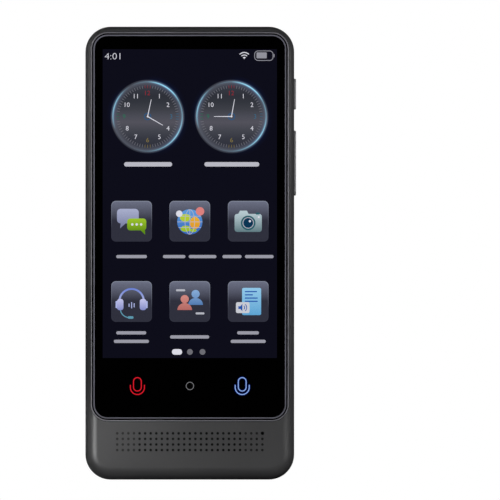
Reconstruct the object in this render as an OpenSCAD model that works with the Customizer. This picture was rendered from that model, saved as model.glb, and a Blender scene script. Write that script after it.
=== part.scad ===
// Handheld translator: a slim upright slab with a touch screen, two side keys and a rear camera island.
// It stands on its bottom edge. X runs to the right as seen from the screen side, Y runs from the
// screen to the back, Z runs up. The origin is at the middle of the flat bottom edge.

/* [Body] */
// Width of the housing
body_w = 61.3; // [60.6:0.1:66]
// Height of the housing
body_h = 133; // [131:0.5:145]
// Thickness of the housing, without glass and camera island
body_t = 12.6; // [12.4:0.1:14]
// Radius of the four corners
corner_r = 7.4; // [6.4:0.1:8.5]
// Radius of the rounding along the front edge
front_fillet = 3.5; // [3.2:0.1:3.8]
// Radius of the rounding along the back edge
back_fillet = 4; // [3.2:0.1:4.1]
// Wall thickness of both shells
wall = 1.3; // [1.2:0.05:1.5]
// Depth of the rear cover, from its rim to the back face
cover_depth = 4.1; // [4.1:0.1:4.4]

/* [Rear cover joint] */
// Height of the locating lip
lip_h = 0.8; // [0.6:0.05:0.9]
// Thickness of the locating lip
lip_t = 0.6; // [0.5:0.05:0.7]
// Clearance between lip or clips and the front housing
lip_gap = 0.05; // [0.03:0.01:0.1]
// Radius that breaks both shells' edges at the parting line
seam_r = 0.15; // [0.1:0.05:0.2]
// Width of a snap clip
clip_w = 5; // [3:0.5:7]
// Reach of a snap clip below the lip
clip_reach = 2.2; // [1.8:0.1:2.5]
// Catch of a snap clip
clip_catch = 0.3; // [0.2:0.05:0.4]
// Height of the lowest side clips above the bottom
clip_low = 28; // [26:0.5:30]
// Distance from the middle of the height down to the other side clips
clip_mid = 6.5; // [4:0.5:8]
// Distance of the end clips from the middle of the width
clip_x = 15; // [13:0.5:16]

/* [Glass and bezel] */
// Margin between the bezel ring and the edge of the housing
ring_margin = 1.54; // [1.4:0.01:1.6]
// Width of the bezel ring
ring_w = 0.36; // [0.34:0.02:0.5]
// Height of the ring's lower edge above the bottom, which leaves the chin
chin_h = 17.1; // [16.8:0.1:17.6]
// Outer corner radius of the bezel ring
ring_r = 5; // [4.4:0.1:5.6]
// How far the ring stands proud of the housing
ring_proud = 0.2; // [0.1:0.05:0.3]
// Thickness of the cover glass
glass_t = 1.1; // [1:0.05:1.2]
// How far the glass stands proud of the housing
glass_proud = 0.3; // [0.2:0.05:0.4]
// Radius of the ground edge of the glass
glass_edge = 0.5; // [0.3:0.05:0.6]
// Shadow gap between the glass and the ring
glass_gap = 0.36; // [0.2:0.02:0.4]
// Gap between the ring and the housing
trim_gap = 0.1; // [0.05:0.01:0.15]
// Corner radius of the glass
glass_r = 4.2; // [4:0.1:4.8]
// Thickness of the printed border and its gap behind the glass
print_gap = 0.05; // [0.04:0.01:0.08]
// Thickness of the bond that holds the glass, with the printed border
bond_t = 0.2; // [0.15:0.05:0.25]

/* [Display] */
// Distance from the side of the glass to the display module
lcd_margin = 1.59; // [1.4:0.01:2]
// Distance from the top of the housing to the display module
lcd_top = 5; // [4.8:0.1:6]
// Distance from the middle of the touch keys up to the display module
lcd_above_keys = 3.9; // [3.7:0.1:4.4]
// Corner radius of the display module and its window
lcd_r = 0.3; // [0.2:0.05:0.5]
// Thickness of the display panel
lcd_t = 0.8; // [0.7:0.05:0.9]
// Thickness of the backlight unit
backlight_t = 0.8; // [0.7:0.05:0.9]
// Clearance round the display module
lcd_gap = 0.2; // [0.1:0.05:0.3]
// Width of the display flex
lcd_flex_w = 14; // [10:1:16]
// Thickness of every flex
flex_t = 0.15; // [0.1:0.01:0.2]
// Width of the flex that links the two boards
link_flex_w = 2; // [1.5:0.1:2.2]

/* [Touch keys] */
// Height of the touch key row above the bottom
touch_z = 27.5; // [27.2:0.1:28]
// Distance between neighbouring touch keys
touch_pitch = 15.4; // [13:0.1:18]
// Width of the touch key board
touch_w = 46; // [40:1:50]
// Height of the touch key board
touch_h = 6; // [5:0.2:6.4]
// Thickness of the touch key board
touch_t = 0.25; // [0.2:0.01:0.3]

/* [Speaker field] */
// Number of columns of holes and dimples
grille_cols = 27; // [23:2:27]
// Number of rows of holes and dimples
grille_rows = 4; // [2:1:4]
// Columns at each end that are blind dimples
blind_cols = 4; // [3:1:6]
// Pitch of the holes
grille_pitch = 1.64; // [1.5:0.01:1.7]
// Diameter of a hole
grille_d = 0.75; // [0.5:0.05:0.9]
// Depth of a blind dimple
dimple_depth = 0.8; // [0.3:0.05:0.9]
// Height of the middle of the field above the bottom
grille_z = 11.13; // [10.8:0.01:11.3]
// Diameter of the microphone port
mic_port_d = 1; // [0.8:0.05:1.2]

/* [Speaker] */
// Width of the speaker
speaker_w = 34; // [30:0.5:35]
// Height of the speaker
speaker_h = 8.6; // [8:0.1:8.8]
// Thickness of the speaker
speaker_t = 2.35; // [2.2:0.05:2.5]
// Thickness of the speaker's foam gasket
gasket_t = 0.5; // [0.4:0.05:0.6]
// Thickness of the acoustic mesh
mesh_t = 0.15; // [0.1:0.01:0.2]

/* [Chassis and battery] */
// Thickness of the mid frame
frame_t = 0.6; // [0.5:0.05:0.7]
// Gap between the mid frame and the inner wall
frame_gap = 0.55; // [0.5:0.05:0.8]
// Height of the mid frame's lower edge above the bottom
frame_z = 18.5; // [18.2:0.1:19]
// Distance from the battery's side to the side key bracket
battery_side_gap = 1.45; // [1.3:0.05:3]
// Distance from the battery up to the main board
battery_board_gap = 4.5; // [4.4:0.1:6]
// Thickness of the battery
battery_t = 7.4; // [5:0.1:7.6]
// Height of the battery's lower edge above the bottom
battery_z = 34; // [33.6:0.1:35]
// Thickness of the battery's adhesive
battery_bond = 0.2; // [0.1:0.05:0.25]
// Distance from the battery's edge to its adhesive
battery_bond_inset = 4; // [2:0.5:8]
// Width of the battery protection board
pcm_w = 26; // [20:1:30]
// Height of the battery protection board
pcm_h = 3.3; // [2.8:0.1:3.6]

/* [Boards] */
// Thickness of the main board and the battery protection board
board_t = 1; // [0.8:0.1:1.1]
// Height of the standoffs under the main board
standoff_h = 1.6; // [1.5:0.05:1.8]
// Height of the main board
board_h = 30.5; // [29:0.1:31]
// Distance from the top of the housing to the main board
board_top_gap = 4; // [3.7:0.1:4.2]
// Gap between the main board's left edge and the housing
board_gap = 2.3; // [2:0.1:2.6]
// Gap between the main board's right edge and the side key bracket
key_board_gap = 0.85; // [0.7:0.05:1]
// Thickness of the lower board
usb_board_t = 0.8; // [0.7:0.05:0.9]
// Gap between the lower board's side and the housing
usb_board_gap = 2.85; // [2.4:0.05:3.1]
// Height of the lower board's lower edge above the bottom
usb_board_z = 2.6; // [2.5:0.1:3]
// Height of the lower board
usb_board_h = 13.8; // [13.4:0.1:14]

/* [Screws] */
// Shaft diameter of the small screws
screw_d = 1.4; // [1.2:0.05:1.6]
// Head diameter of the small screws
screw_head_d = 2.6; // [2.4:0.05:2.8]
// Head height of the small screws
screw_head_h = 0.5; // [0.4:0.05:0.6]
// Diameter of the standoffs and bosses
boss_d = 3.4; // [3.2:0.1:3.6]

/* [Chips and shields] */
// Width of the processor's shield
processor_shield_w = 19.5; // [16:0.5:20]
// Width of the radio's shield
radio_shield_w = 17.5; // [14:0.5:18]
// Gap between the two shields
shield_split = 3; // [2:0.2:4]
// Gap between the shields and the camera module
shield_camera_gap = 1.6; // [1:0.1:2]
// Distance from the main board's lower edge to the processor's shield
processor_shield_low = 2; // [1:0.1:3]
// Distance from the main board's lower edge to the radio's shield
radio_shield_low = 5; // [4:0.1:6]
// Height of a shield above the board
shield_h = 1.5; // [1.3:0.1:1.6]
// Sheet thickness of a shield
shield_sheet = 0.2; // [0.15:0.05:0.25]
// Gap between the chips and their shield
chip_gap = 0.3; // [0.2:0.05:0.4]
// Side of the processor
processor_side = 10; // [8:0.5:10]
// Width of the memory chip
memory_w = 3.5; // [3:0.5:4]
// Height of the memory chip
memory_h = 7; // [5:0.5:8]
// Gap between the processor and the memory chip
memory_gap = 1.5; // [1:0.1:2]
// Side of the radio chip
radio_side = 7; // [5:0.5:7]

/* [Antenna] */
// Width of the antenna
antenna_w = 18.4; // [14:0.2:19]
// Distance from the antenna's outer side to the housing
antenna_side_gap = 5.95; // [5.5:0.05:8]
// Distance from the main board's lower edge to the antenna
antenna_low = 3; // [2:0.5:5]
// Distance from the shields' upper edge down to the antenna
antenna_camera_gap = 3; // [2:0.5:4]
// Width of the antenna's contact tail
antenna_tail_w = 3; // [2:0.5:4]
// Length of the antenna's foot on the main board
antenna_foot = 1.8; // [1.2:0.1:2]

/* [Link between the boards] */
// Length that the link lies on the lower board
link_overlap = 2; // [1.5:0.5:3]
// Height from the link's lower end to its fold
link_rise = 4; // [3:0.5:5]
// Height of the link's end above the main board's lower edge
link_top = 8; // [6:0.5:10]

/* [Charging socket] */
// Width of the socket's steel shell
usb_w = 8.94; // [8.94]
// Height of the socket's steel shell
usb_h = 3.16; // [3.16]
// Length of the socket's steel shell
usb_len = 7.35; // [6.5:0.05:8]
// Sheet thickness of the socket's shell
usb_sheet = 0.3; // [0.25:0.01:0.35]
// How far the socket's mouth lies inside the bottom edge
usb_recess = 0.25; // [0.1:0.05:0.5]
// Clearance between the socket and its opening
usb_gap = 0.18; // [0.1:0.01:0.2]
// Distance of the socket's axis from the middle of the thickness, towards the screen
usb_shift = 0.2; // [0.1:0.05:0.4]

/* [Side keys] */
// Distance of the keys' axis from the middle of the thickness, towards the screen
key_shift = 0.3; // [0.2:0.05:0.4]
// Width of both side keys
key_w = 2.6; // [2.2:0.1:2.8]
// How far the keys stand out of the side wall
key_proud = 0.55; // [0.3:0.05:0.8]
// Clearance between a key and its slot
key_gap = 0.12; // [0.1:0.01:0.15]
// Length of the power button
power_len = 9.05; // [8:0.05:10]
// Distance from the top of the housing to the power button's middle
power_top = 19.8; // [19:0.1:20]
// Length of the volume rocker
volume_len = 19.1; // [17:0.1:20]
// Distance from the top of the housing to the volume rocker's middle
volume_top = 40.05; // [39.5:0.05:41]
// Distance from the rocker's middle to each of its switches
volume_arm = 6.5; // [5.5:0.1:7]
// Extra length clearance for the tipping rocker
rocker_gap = 0.22; // [0.2:0.01:0.3]
// Width of the retaining flange beyond the key
flange_w = 0.5; // [0.4:0.05:0.6]
// Thickness of the retaining flange
flange_t = 0.55; // [0.5:0.05:0.6]
// Distance from the side wall's inner face to the keys' actuating tips
key_depth = 1.3; // [1.25:0.01:1.4]
// Diameter of the actuating tips
tip_d = 1.6; // [1.2:0.1:2]
// Height of a switch dome
dome_h = 0.35; // [0.3:0.01:0.4]
// Diameter of a switch dome
dome_d = 2; // [1.8:0.1:2.4]
// Thickness of a switch body
switch_t = 0.8; // [0.7:0.05:0.9]
// Sheet thickness of the key bracket
bracket_t = 0.4; // [0.3:0.05:0.45]

/* [Camera] */
// Distance from the top of the housing to the camera's axis
camera_top = 12; // [11.4:0.1:12.2]
// Width of the camera island
island_w = 45.4; // [44:0.2:46]
// Height of the camera island
island_h = 11.3; // [11:0.1:11.8]
// Corner radius of the camera island
island_r = 3.5; // [3.2:0.1:3.8]
// How far the island stands out of the back
island_rise = 0.8; // [0.6:0.05:1]
// Width of the island's sloping border
island_slope = 0.85; // [0.6:0.05:1]
// Depth of the pocket that seats the island
island_seat = 0.6; // [0.4:0.05:0.7]
// Width of the flat land round the window
window_land = 0.2; // [0.15:0.05:0.3]
// Thickness of the camera window
window_t = 0.7; // [0.6:0.05:0.8]
// Side of the square camera module
camera_side = 8.5; // [8:0.1:8.8]
// Thickness of the camera module's base
camera_base_t = 3.6; // [3:0.1:4]
// Diameter of the camera's lens barrel
barrel_d = 6.4; // [6:0.1:6.8]
// Diameter of the front lens
lens_d = 4.2; // [3.8:0.1:4.6]
// Diameter of the camera opening in the cover and the island
camera_hole_d = 7.8; // [7.4:0.1:8]

/* [Hidden] */
$fn = 64;
eps = 0.02;

// Levels through the thickness, from the screen to the back
y_front = -body_t / 2;
y_back = body_t / 2;
y_glass = y_front - glass_proud;
y_glass_back = y_glass + glass_t;
y_ledge = y_glass_back + bond_t;
y_backlight = y_ledge + lcd_t;
y_frame = y_backlight + backlight_t;
y_frame_back = y_frame + frame_t;
y_battery = y_frame_back + battery_bond;
y_board = y_frame_back + standoff_h;
y_board_back = y_board + board_t;
y_chin = y_front + wall;
y_cover = y_back - wall;
y_rim = y_back - cover_depth;
y_lip = y_rim - lip_h;
y_usb = -usb_shift;
y_usb_board = y_usb - usb_board_t / 2;
y_usb_board_back = y_usb_board + usb_board_t;
y_key = -key_shift;

// Outlines seen from the front
inner_w = body_w - 2 * wall;
inner_h = body_h - 2 * wall;
inner_r = corner_r - wall;
x_in = inner_w / 2;
mid_z = body_h / 2;
ring_out_w = body_w - 2 * ring_margin;
ring_out_h = body_h - ring_margin - chin_h;
ring_z = chin_h + ring_out_h / 2;
ring_in_w = ring_out_w - 2 * ring_w;
ring_in_h = ring_out_h - 2 * ring_w;
ring_in_r = ring_r - ring_w;
glass_w = ring_in_w - 2 * glass_gap;
glass_h = ring_in_h - 2 * glass_gap;
lcd_w = glass_w - 2 * lcd_margin;
lcd_bottom = touch_z + lcd_above_keys;
lcd_h = body_h - lcd_top - lcd_bottom;
lcd_z = lcd_bottom + lcd_h / 2;
touch_r = 0.5;
lamp_w = 1.6;
lamp_t = 0.4;
camera_z = body_h - camera_top;
power_z = body_h - power_top;
volume_z = body_h - volume_top;

// Speaker field and speaker
mic_x = (grille_cols - 1) / 2 * grille_pitch;
mic_z = grille_z + (grille_rows - 1) / 2 * grille_pitch;
usb_board_w = inner_w - 2 * usb_board_gap;
usb_board_r = 4;
boss_inset = 1.7;
boss_in_wall = 0.5;
boss_x = usb_board_w / 2 - boss_inset;
usb_boss_z = usb_board_z + usb_board_h / 2;
chin_pocket_w = 2 * (boss_x + boss_d / 2 - boss_in_wall);
chin_pocket_z0 = wall + 2.6;
chin_pocket_z1 = chin_h - 0.4;
chin_pocket_r = 3;
y_gasket = y_chin + mesh_t;
y_speaker = y_gasket + gasket_t;
speaker_r = 1.2;
speaker_rim = 1.3;
speaker_rib = 0.6;
speaker_rib_gap = 0.1;
speaker_back = 0.5;
cone_lift = 0.1;
cone_t = 0.15;
cone_h = 0.5;
cone_side = 2;
cone_end = 1;
magnet_gap = 0.3;
magnet_h = 4;
magnet_side = 5;
mic_boss_d = 3;
mic_t = 1.1;
mic_w = 2.8;
mic_h = 3.6;

// Frame and screws
frame_w = inner_w - 2 * frame_gap;
frame_h = body_h - wall - frame_gap - frame_z;
frame_mid_z = frame_z + frame_h / 2;
frame_r = inner_r - frame_gap;
screw_r = screw_d / 2;
screw_grip = 1.1;
frame_screw_top = body_h - 3;
frame_screw_low = frame_z + 3;
frame_screw_x = [x_in - 7.35, x_in - 5.35];
flex_passage = 0.6;
flex_fold = 1.4;
rib_t = 0.5;
rib_gap = 0.1;
rib_h = 1.5;
rib_inset = 4;

// Side keys, from the wall inwards
x_side = body_w / 2;
x_tip = x_in - key_depth;
x_dome = x_tip - 0.05;
x_switch = x_dome - dome_h;
x_key_flex = x_switch - switch_t;
key_flex_t = 0.2;
x_bracket = x_key_flex - key_flex_t;
x_bracket_in = x_bracket - bracket_t;
power_flange_gap = 0.1;
rocker_flange_gap = 0.3;
switch_w = 2.6;
switch_len = 4.4;
key_end_margin = 3.2;
key_strip_z0 = volume_z - volume_arm - switch_len / 2 - key_end_margin;
key_strip_z1 = power_z + switch_len / 2 + key_end_margin;
key_tail_z = (volume_z + volume_len / 2 + power_z - power_len / 2) / 2;
key_tail_w = 3;
key_tail_reach = 1.1;
fulcrum_r = 0.5;
fulcrum_gap = 0.15;

// Main board and camera
board_x0 = -x_in + board_gap;
board_x1 = x_bracket_in - key_board_gap;
board_top = body_h - board_top_gap;
board_z = board_top - board_h;
board_hole_inset = 2.4;
board_chamfer = 2.2;
shield_z1 = camera_z - camera_side / 2 - shield_camera_gap;
processor_shield_z0 = board_z + processor_shield_low;
radio_shield_z0 = board_z + radio_shield_low;
chip_h = shield_h - shield_sheet - chip_gap;
antenna_x0 = -x_in + antenna_side_gap;
antenna_z0 = board_z + antenna_low;
antenna_z1 = shield_z1 - antenna_camera_gap;
link_z0 = usb_board_z + usb_board_h - link_overlap;
link_fold_z = link_z0 + link_rise;
link_z1 = board_z + link_top;

// Battery, which fills the room between the lower board and the main board
battery_w = 2 * (x_bracket_in - battery_side_gap);
battery_top = board_z - battery_board_gap;
battery_h = battery_top - battery_z;
battery_mid_z = battery_z + battery_h / 2;
battery_r = 2;
battery_edge = 1.2;
pcm_gap = 0.1;
lead_r = 0.45;
lead_x = [9, 11];
lead_overlap = [1, 3];
island_floor = y_back + island_rise - window_t - eps * 2;
window_w = island_w - 2 * (island_slope + window_land);
window_h = island_h - 2 * (island_slope + window_land);
window_r = island_r - island_slope - window_land;
camera_gasket_t = 0.6;
y_barrel = island_floor - camera_gasket_t;
lens_t = 0.5;
lens_recess = 0.1;
lens_fit = 0.03;

// Charging socket
socket_r = usb_h / 2 - eps;
tongue_w = 6.7;
tongue_t = 0.7;
tongue_recess = 0.9;
tongue_base = 1.4;
tab_z = [3.4, 6];
tab_w = 1;
tab_len = 1.1;
tab_t = 0.2;

// ---- Shapes ----

// Rounded rectangle about the origin
module rounded_rect(w, h, r) {
    square([w - 2 * r, h], center = true);
    square([w, h - 2 * r], center = true);
    for (sx = [-1, 1], sz = [-1, 1])
        translate([sx * (w / 2 - r), sz * (h / 2 - r)]) circle(r);
}

// Upright plate with rounded corners, from y0 to y1
module plate(w, h, y0, y1, r, x = 0, z = 0) {
    translate([x, y1, z]) rotate([90, 0, 0]) linear_extrude(y1 - y0) rounded_rect(w, h, r);
}

// Box between two corners
module block(x0, x1, y0, y1, z0, z1) {
    translate([x0, y0, z0]) cube([x1 - x0, y1 - y0, z1 - z0]);
}

// Round bar along Y
module rod(r, y0, y1, x = 0, z = 0) {
    translate([x, y1, z]) rotate([90, 0, 0]) cylinder(r = r, h = y1 - y0);
}

// Removes what lies outside an arc at the corner (u, v) of an edge profile
module arc_cut(u, v, r, side) {
    translate([u - r, v + side * r]) difference() {
        translate([0, side > 0 ? -r - 1 : 0]) square(r + 1);
        circle(r);
    }
}

// Edge profile: from the corner axis outwards, with an arc at the front and at the back
module round_edge(r, y0, y1, front, back) {
    difference() {
        translate([0, y0]) square([r, y1 - y0]);
        if (front > 0) arc_cut(r, y0, front, 1);
        if (back > 0) arc_cut(r, y1, back, -1);
    }
}

// Upright slab whose edge profile, a child that spans 0 to r, runs all the way round
module swept_slab(w, h, y0, y1, r) {
    long = h - 2 * r;
    wide = w - 2 * r;
    block(-wide / 2, wide / 2, y0, y1, -long / 2, long / 2);
    for (m = [0, 1]) {
        mirror([m, 0, 0]) translate([wide / 2, 0, -long / 2]) linear_extrude(long) children();
        mirror([0, 0, m]) translate([wide / 2, 0, long / 2]) rotate([0, -90, 0])
            linear_extrude(wide) children();
    }
    for (mx = [0, 1], mz = [0, 1])
        mirror([mx, 0, 0]) mirror([0, 0, mz]) translate([wide / 2, 0, -long / 2])
            rotate([-90, 0, 0]) rotate_extrude(angle = 90) children();
}

// Slab with rounded corners and rounded front and back edges
module soft_slab(w, h, y0, y1, r, front, back) {
    swept_slab(w, h, y0, y1, r) round_edge(r, y0, y1, front, back);
}

// Solid between two rounded outlines
module ring_plate(w, h, r, t, y0, y1, z = 0) {
    difference() {
        plate(w, h, y0, y1, r, 0, z);
        plate(w - 2 * t, h - 2 * t, y0 - 1, y1 + 1, max(r - t, 0.3), 0, z);
    }
}

// Slot with round ends, cut outwards through the right side wall
module side_slot(len, wide, z) {
    translate([x_in - 1, y_key, z]) rotate([90, 0, 90])
        linear_extrude(wall + 2) rounded_rect(wide, len, wide / 2 - eps);
}

// Pan-head screw along Y, with its head on y_seat and its shaft towards the screen
module screw(x, z, y_seat, grip) {
    rod(screw_head_d / 2, y_seat, y_seat + screw_head_h, x, z);
    rod(screw_r - eps, y_seat - grip, y_seat, x, z);
}

// Puts its children at each clip, with +X pointing out through the wall
module at_clips() {
    for (z = [clip_low, mid_z - clip_mid]) {
        translate([x_in, 0, z]) children();
        translate([-x_in, 0, z]) rotate([0, 180, 0]) children();
    }
    for (x = [-clip_x, clip_x]) {
        translate([x, 0, body_h - wall]) rotate([0, -90, 0]) children();
        translate([x, 0, wall]) rotate([0, 90, 0]) children();
    }
}

// Centre of each hole of the speaker field, as [column, row]
function grille_x(i) = (i - (grille_cols - 1) / 2) * grille_pitch;
function grille_row_z(j) = grille_z + ((grille_rows - 1) / 2 - j) * grille_pitch;
function is_blind(i) = i < blind_cols || i >= grille_cols - blind_cols;
function is_mic_port(i, j) = i == grille_cols - 1 && j == 0;

// ---- Housing ----

// Holes, blind dimples and microphone port of the speaker field
module speaker_field() {
    for (i = [0 : grille_cols - 1], j = [0 : grille_rows - 1])
        if (is_mic_port(i, j))
            rod(mic_port_d / 2, y_front - 1, y_chin + 1, grille_x(i), grille_row_z(j));
        else if (is_blind(i))
            rod(grille_d / 2, y_front - 1, y_front + dimple_depth, grille_x(i), grille_row_z(j));
        else
            rod(grille_d / 2, y_front - 1, y_chin + 1, grille_x(i), grille_row_z(j));
}

module front_housing() {
    color("dimgray") {
        difference() {
            translate([0, 0, mid_z])
                soft_slab(body_w, body_h, y_front, y_rim, corner_r, front_fillet, seam_r);
            // Main cavity behind the display ledge
            plate(inner_w, inner_h, y_frame, y_rim + 1, inner_r, 0, mid_z);
            // Rebate for the cover's lip
            plate(inner_w + 2 * (lip_t + lip_gap), inner_h + 2 * (lip_t + lip_gap),
                y_lip - lip_gap, y_rim + 1, inner_r + lip_t + lip_gap, 0, mid_z);
            // Seat of the bezel ring and the glass
            plate(ring_out_w + 2 * trim_gap, ring_out_h + 2 * trim_gap, y_glass - 1, y_ledge,
                ring_r + trim_gap, 0, ring_z);
            // Window for the display
            plate(lcd_w + 2 * lcd_gap, lcd_h + 2 * lcd_gap, y_ledge - 1, y_frame + 1,
                lcd_r + lcd_gap, 0, lcd_z);
            // Pocket for the touch key board, and passage for the display flex
            plate(touch_w + 2 * lcd_gap, touch_h + 2 * lcd_gap, y_ledge - 1, y_ledge + 0.55,
                touch_r, 0, touch_z);
            block(-lcd_flex_w / 2 - 1, lcd_flex_w / 2 + 1, y_ledge - 1, y_frame + 1,
                lcd_bottom - flex_fold - 1, lcd_bottom + 1);
            // Pocket behind the chin
            plate(chin_pocket_w, chin_pocket_z1 - chin_pocket_z0, y_chin, y_frame + 1,
                chin_pocket_r, 0, (chin_pocket_z0 + chin_pocket_z1) / 2);
            speaker_field();
            // Openings for the charging socket and the side keys
            translate([0, y_usb, -1]) linear_extrude(wall + 2)
                rounded_rect(usb_w + 2 * usb_gap, usb_h + 2 * usb_gap, socket_r + usb_gap);
            side_slot(power_len + 2 * key_gap, key_w + 2 * key_gap, power_z);
            side_slot(volume_len + 2 * rocker_gap, key_w + 2 * key_gap, volume_z);
            // Catches for the snap clips
            at_clips() block(-1, clip_catch + lip_gap, y_lip - clip_reach - lip_gap,
                y_lip - clip_reach + 0.9, -clip_w / 2 - 0.2, clip_w / 2 + 0.2);
            for (x = [-1, 1]) {
                rod(screw_r, y_ledge + 0.3, y_frame + 1, x * frame_screw_x[0], frame_screw_top);
                rod(screw_r, y_ledge + 0.3, y_frame + 1, x * frame_screw_x[1], frame_screw_low);
            }
        }
        // Rib round the speaker
        difference() {
            ring_plate(speaker_w + 2 * (speaker_rib + speaker_rib_gap),
                speaker_h + 2 * (speaker_rib + speaker_rib_gap), speaker_r, speaker_rib,
                y_chin - eps, y_speaker + 1.2, grille_z);
            rod(mic_boss_d / 2 + 0.1, y_chin - 1, y_speaker + 2, mic_x, mic_z);
        }
        // Bosses for the lower board
        for (x = [-1, 1])
            difference() {
                rod(boss_d / 2, y_chin - eps, y_usb_board, x * boss_x, usb_boss_z);
                rod(screw_r, y_usb_board - 1.6, y_usb_board + 1, x * boss_x, usb_boss_z);
            }
    }
}

module rear_cover() {
    color("dimgray") {
        difference() {
            union() {
                difference() {
                    translate([0, 0, mid_z])
                        soft_slab(body_w, body_h, y_rim, y_back, corner_r, seam_r, back_fillet);
                    translate([0, 0, mid_z])
                        soft_slab(inner_w, inner_h, y_rim - 1, y_cover, inner_r, 0,
                            back_fillet - wall);
                }
                // Locating lip, open at the charging socket
                difference() {
                    ring_plate(inner_w + 2 * lip_t, inner_h + 2 * lip_t, inner_r + lip_t, lip_t,
                        y_lip, y_rim, mid_z);
                    block(-usb_w / 2 - 1, usb_w / 2 + 1, y_lip - 1, y_rim, -1, wall + 1);
                }
                // Snap clips
                at_clips() {
                    block(-0.9, -lip_gap, y_lip - clip_reach, y_rim + 1, -clip_w / 2, clip_w / 2);
                    block(-0.9, lip_t / 2, y_lip, y_rim + 1, -clip_w / 2, clip_w / 2);
                    block(-0.5, clip_catch - lip_gap, y_lip - clip_reach,
                        y_lip - clip_reach + 0.8, -clip_w / 2, clip_w / 2);
                }
            }
            // Seat of the camera island and opening for the lens
            plate(island_w + 2 * lip_gap, island_h + 2 * lip_gap, y_back - island_seat, y_back + 1,
                island_r + lip_gap, 0, camera_z);
            rod(camera_hole_d / 2, y_cover - 1, y_back + 1, 0, camera_z);
        }
    }
}

// ---- Glass and display ----

module bezel_ring() {
    color("gray") translate([0, 0, ring_z]) difference() {
        soft_slab(ring_out_w, ring_out_h, y_front - ring_proud, y_ledge, ring_r, 0.25, 0);
        plate(ring_in_w, ring_in_h, y_glass - 1, y_ledge + 1, ring_in_r);
    }
}

module glass_panel() {
    color("black") translate([0, 0, ring_z])
        soft_slab(glass_w, glass_h, y_glass, y_glass_back, glass_r, glass_edge, 0);
}

module glass_adhesive() {
    color("white") difference() {
        plate(glass_w - 0.4, glass_h - 0.4, y_glass_back + print_gap, y_ledge, glass_r - 0.2,
            0, ring_z);
        plate(lcd_w + 2 * lcd_gap, lcd_h + 2 * lcd_gap, y_glass_back - 1, y_ledge + 1,
            lcd_r + lcd_gap, 0, lcd_z);
        plate(touch_w + 2 * lcd_gap, touch_h + 2 * lcd_gap, y_glass_back - 1, y_ledge + 1,
            touch_r, 0, touch_z);
        block(-lcd_flex_w / 2 - 1, lcd_flex_w / 2 + 1, y_glass_back - 1, y_ledge + 1,
            touch_z, lcd_bottom + 1);
    }
}

module display_panel() {
    color("midnightblue") plate(lcd_w, lcd_h, y_ledge, y_backlight, lcd_r, 0, lcd_z);
}

module display_backlight() {
    color("whitesmoke") plate(lcd_w, lcd_h, y_backlight, y_frame, lcd_r, 0, lcd_z);
}

// Folds from the display's lower edge through the mid frame and down to the lower board
module display_flex() {
    y_in = y_ledge + lcd_t / 2;
    z_fold = lcd_bottom - flex_fold;
    z_end = usb_board_z + usb_board_h - 1.8;
    x0 = -lcd_flex_w / 2;
    x1 = lcd_flex_w / 2;
    color("darkorange") {
        block(x0, x1, y_in, y_in + flex_t, z_fold, lcd_bottom);
        block(x0, x1, y_in, y_usb_board, z_fold, z_fold + flex_t);
        block(x0, x1, y_usb_board - flex_t, y_usb_board, z_end, z_fold + flex_t);
    }
}

// Electrodes on a flex that is bonded to the glass, with one lamp under each key
module touch_key_board() {
    y0 = y_glass_back + print_gap;
    color("darkorange") {
        plate(touch_w, touch_h, y0, y0 + touch_t, touch_r, 0, touch_z);
        for (i = [-1 : 1])
            block(i * touch_pitch - lamp_w / 2, i * touch_pitch + lamp_w / 2, y0 + touch_t - eps,
                y0 + touch_t + lamp_t, touch_z - lamp_t, touch_z + lamp_t);
    }
}

// ---- Chassis and battery ----

// Centres of the main board's screws
function board_screw_at(i, j) = [
    i < 0 ? board_x0 + board_hole_inset : board_x1 - board_hole_inset,
    j < 0 ? board_z + board_hole_inset : board_top - board_hole_inset
];

module mid_frame() {
    color("silver") difference() {
        union() {
            plate(frame_w, frame_h, y_frame, y_frame_back, frame_r, 0, frame_mid_z);
            for (i = [-1, 1], j = [-1, 1])
                rod(boss_d / 2, y_frame, y_board, board_screw_at(i, j)[0], board_screw_at(i, j)[1]);
            // Ribs that keep the battery in place
            for (m = [0, 1]) mirror([m, 0, 0])
                block(battery_w / 2 + rib_gap, battery_w / 2 + rib_gap + rib_t, y_frame,
                    y_frame_back + rib_h, battery_z + rib_inset, battery_mid_z);
            block(-battery_w / 2 + rib_inset, battery_w / 2 - rib_inset, y_frame,
                y_frame_back + rib_h, battery_z - rib_gap - rib_t, battery_z - rib_gap);
        }
        // Passage for the display flex
        block(-lcd_flex_w / 2 - flex_passage, lcd_flex_w / 2 + flex_passage, y_frame - 1,
            y_frame_back + 1, lcd_bottom - flex_fold - flex_passage,
            lcd_bottom - flex_fold + flex_t + flex_passage);
        for (i = [-1, 1], j = [-1, 1])
            rod(screw_r, y_frame - 1, y_board + 1, board_screw_at(i, j)[0], board_screw_at(i, j)[1]);
        for (x = [-1, 1]) {
            rod(screw_r, y_frame - 1, y_frame_back + 1, x * frame_screw_x[0], frame_screw_top);
            rod(screw_r, y_frame - 1, y_frame_back + 1, x * frame_screw_x[1], frame_screw_low);
        }
    }
}

module frame_screws() {
    color("lightgray") for (x = [-1, 1]) {
        screw(x * frame_screw_x[0], frame_screw_top, y_frame_back, frame_t + screw_grip);
        screw(x * frame_screw_x[1], frame_screw_low, y_frame_back, frame_t + screw_grip);
    }
}

module battery_cell() {
    color("lightsteelblue") translate([0, 0, battery_mid_z])
        soft_slab(battery_w, battery_h, y_battery, y_battery + battery_t, battery_r,
            battery_edge, battery_edge);
}

module battery_adhesive() {
    color("white") plate(battery_w - 2 * battery_bond_inset, battery_h - 2 * battery_bond_inset,
        y_frame_back, y_battery, 1, 0, battery_mid_z);
}

module battery_protection_board() {
    color("darkgreen")
        block(-pcm_w / 2, pcm_w / 2, y_board, y_board_back, battery_top + pcm_gap,
            battery_top + pcm_gap + pcm_h);
}

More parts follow.
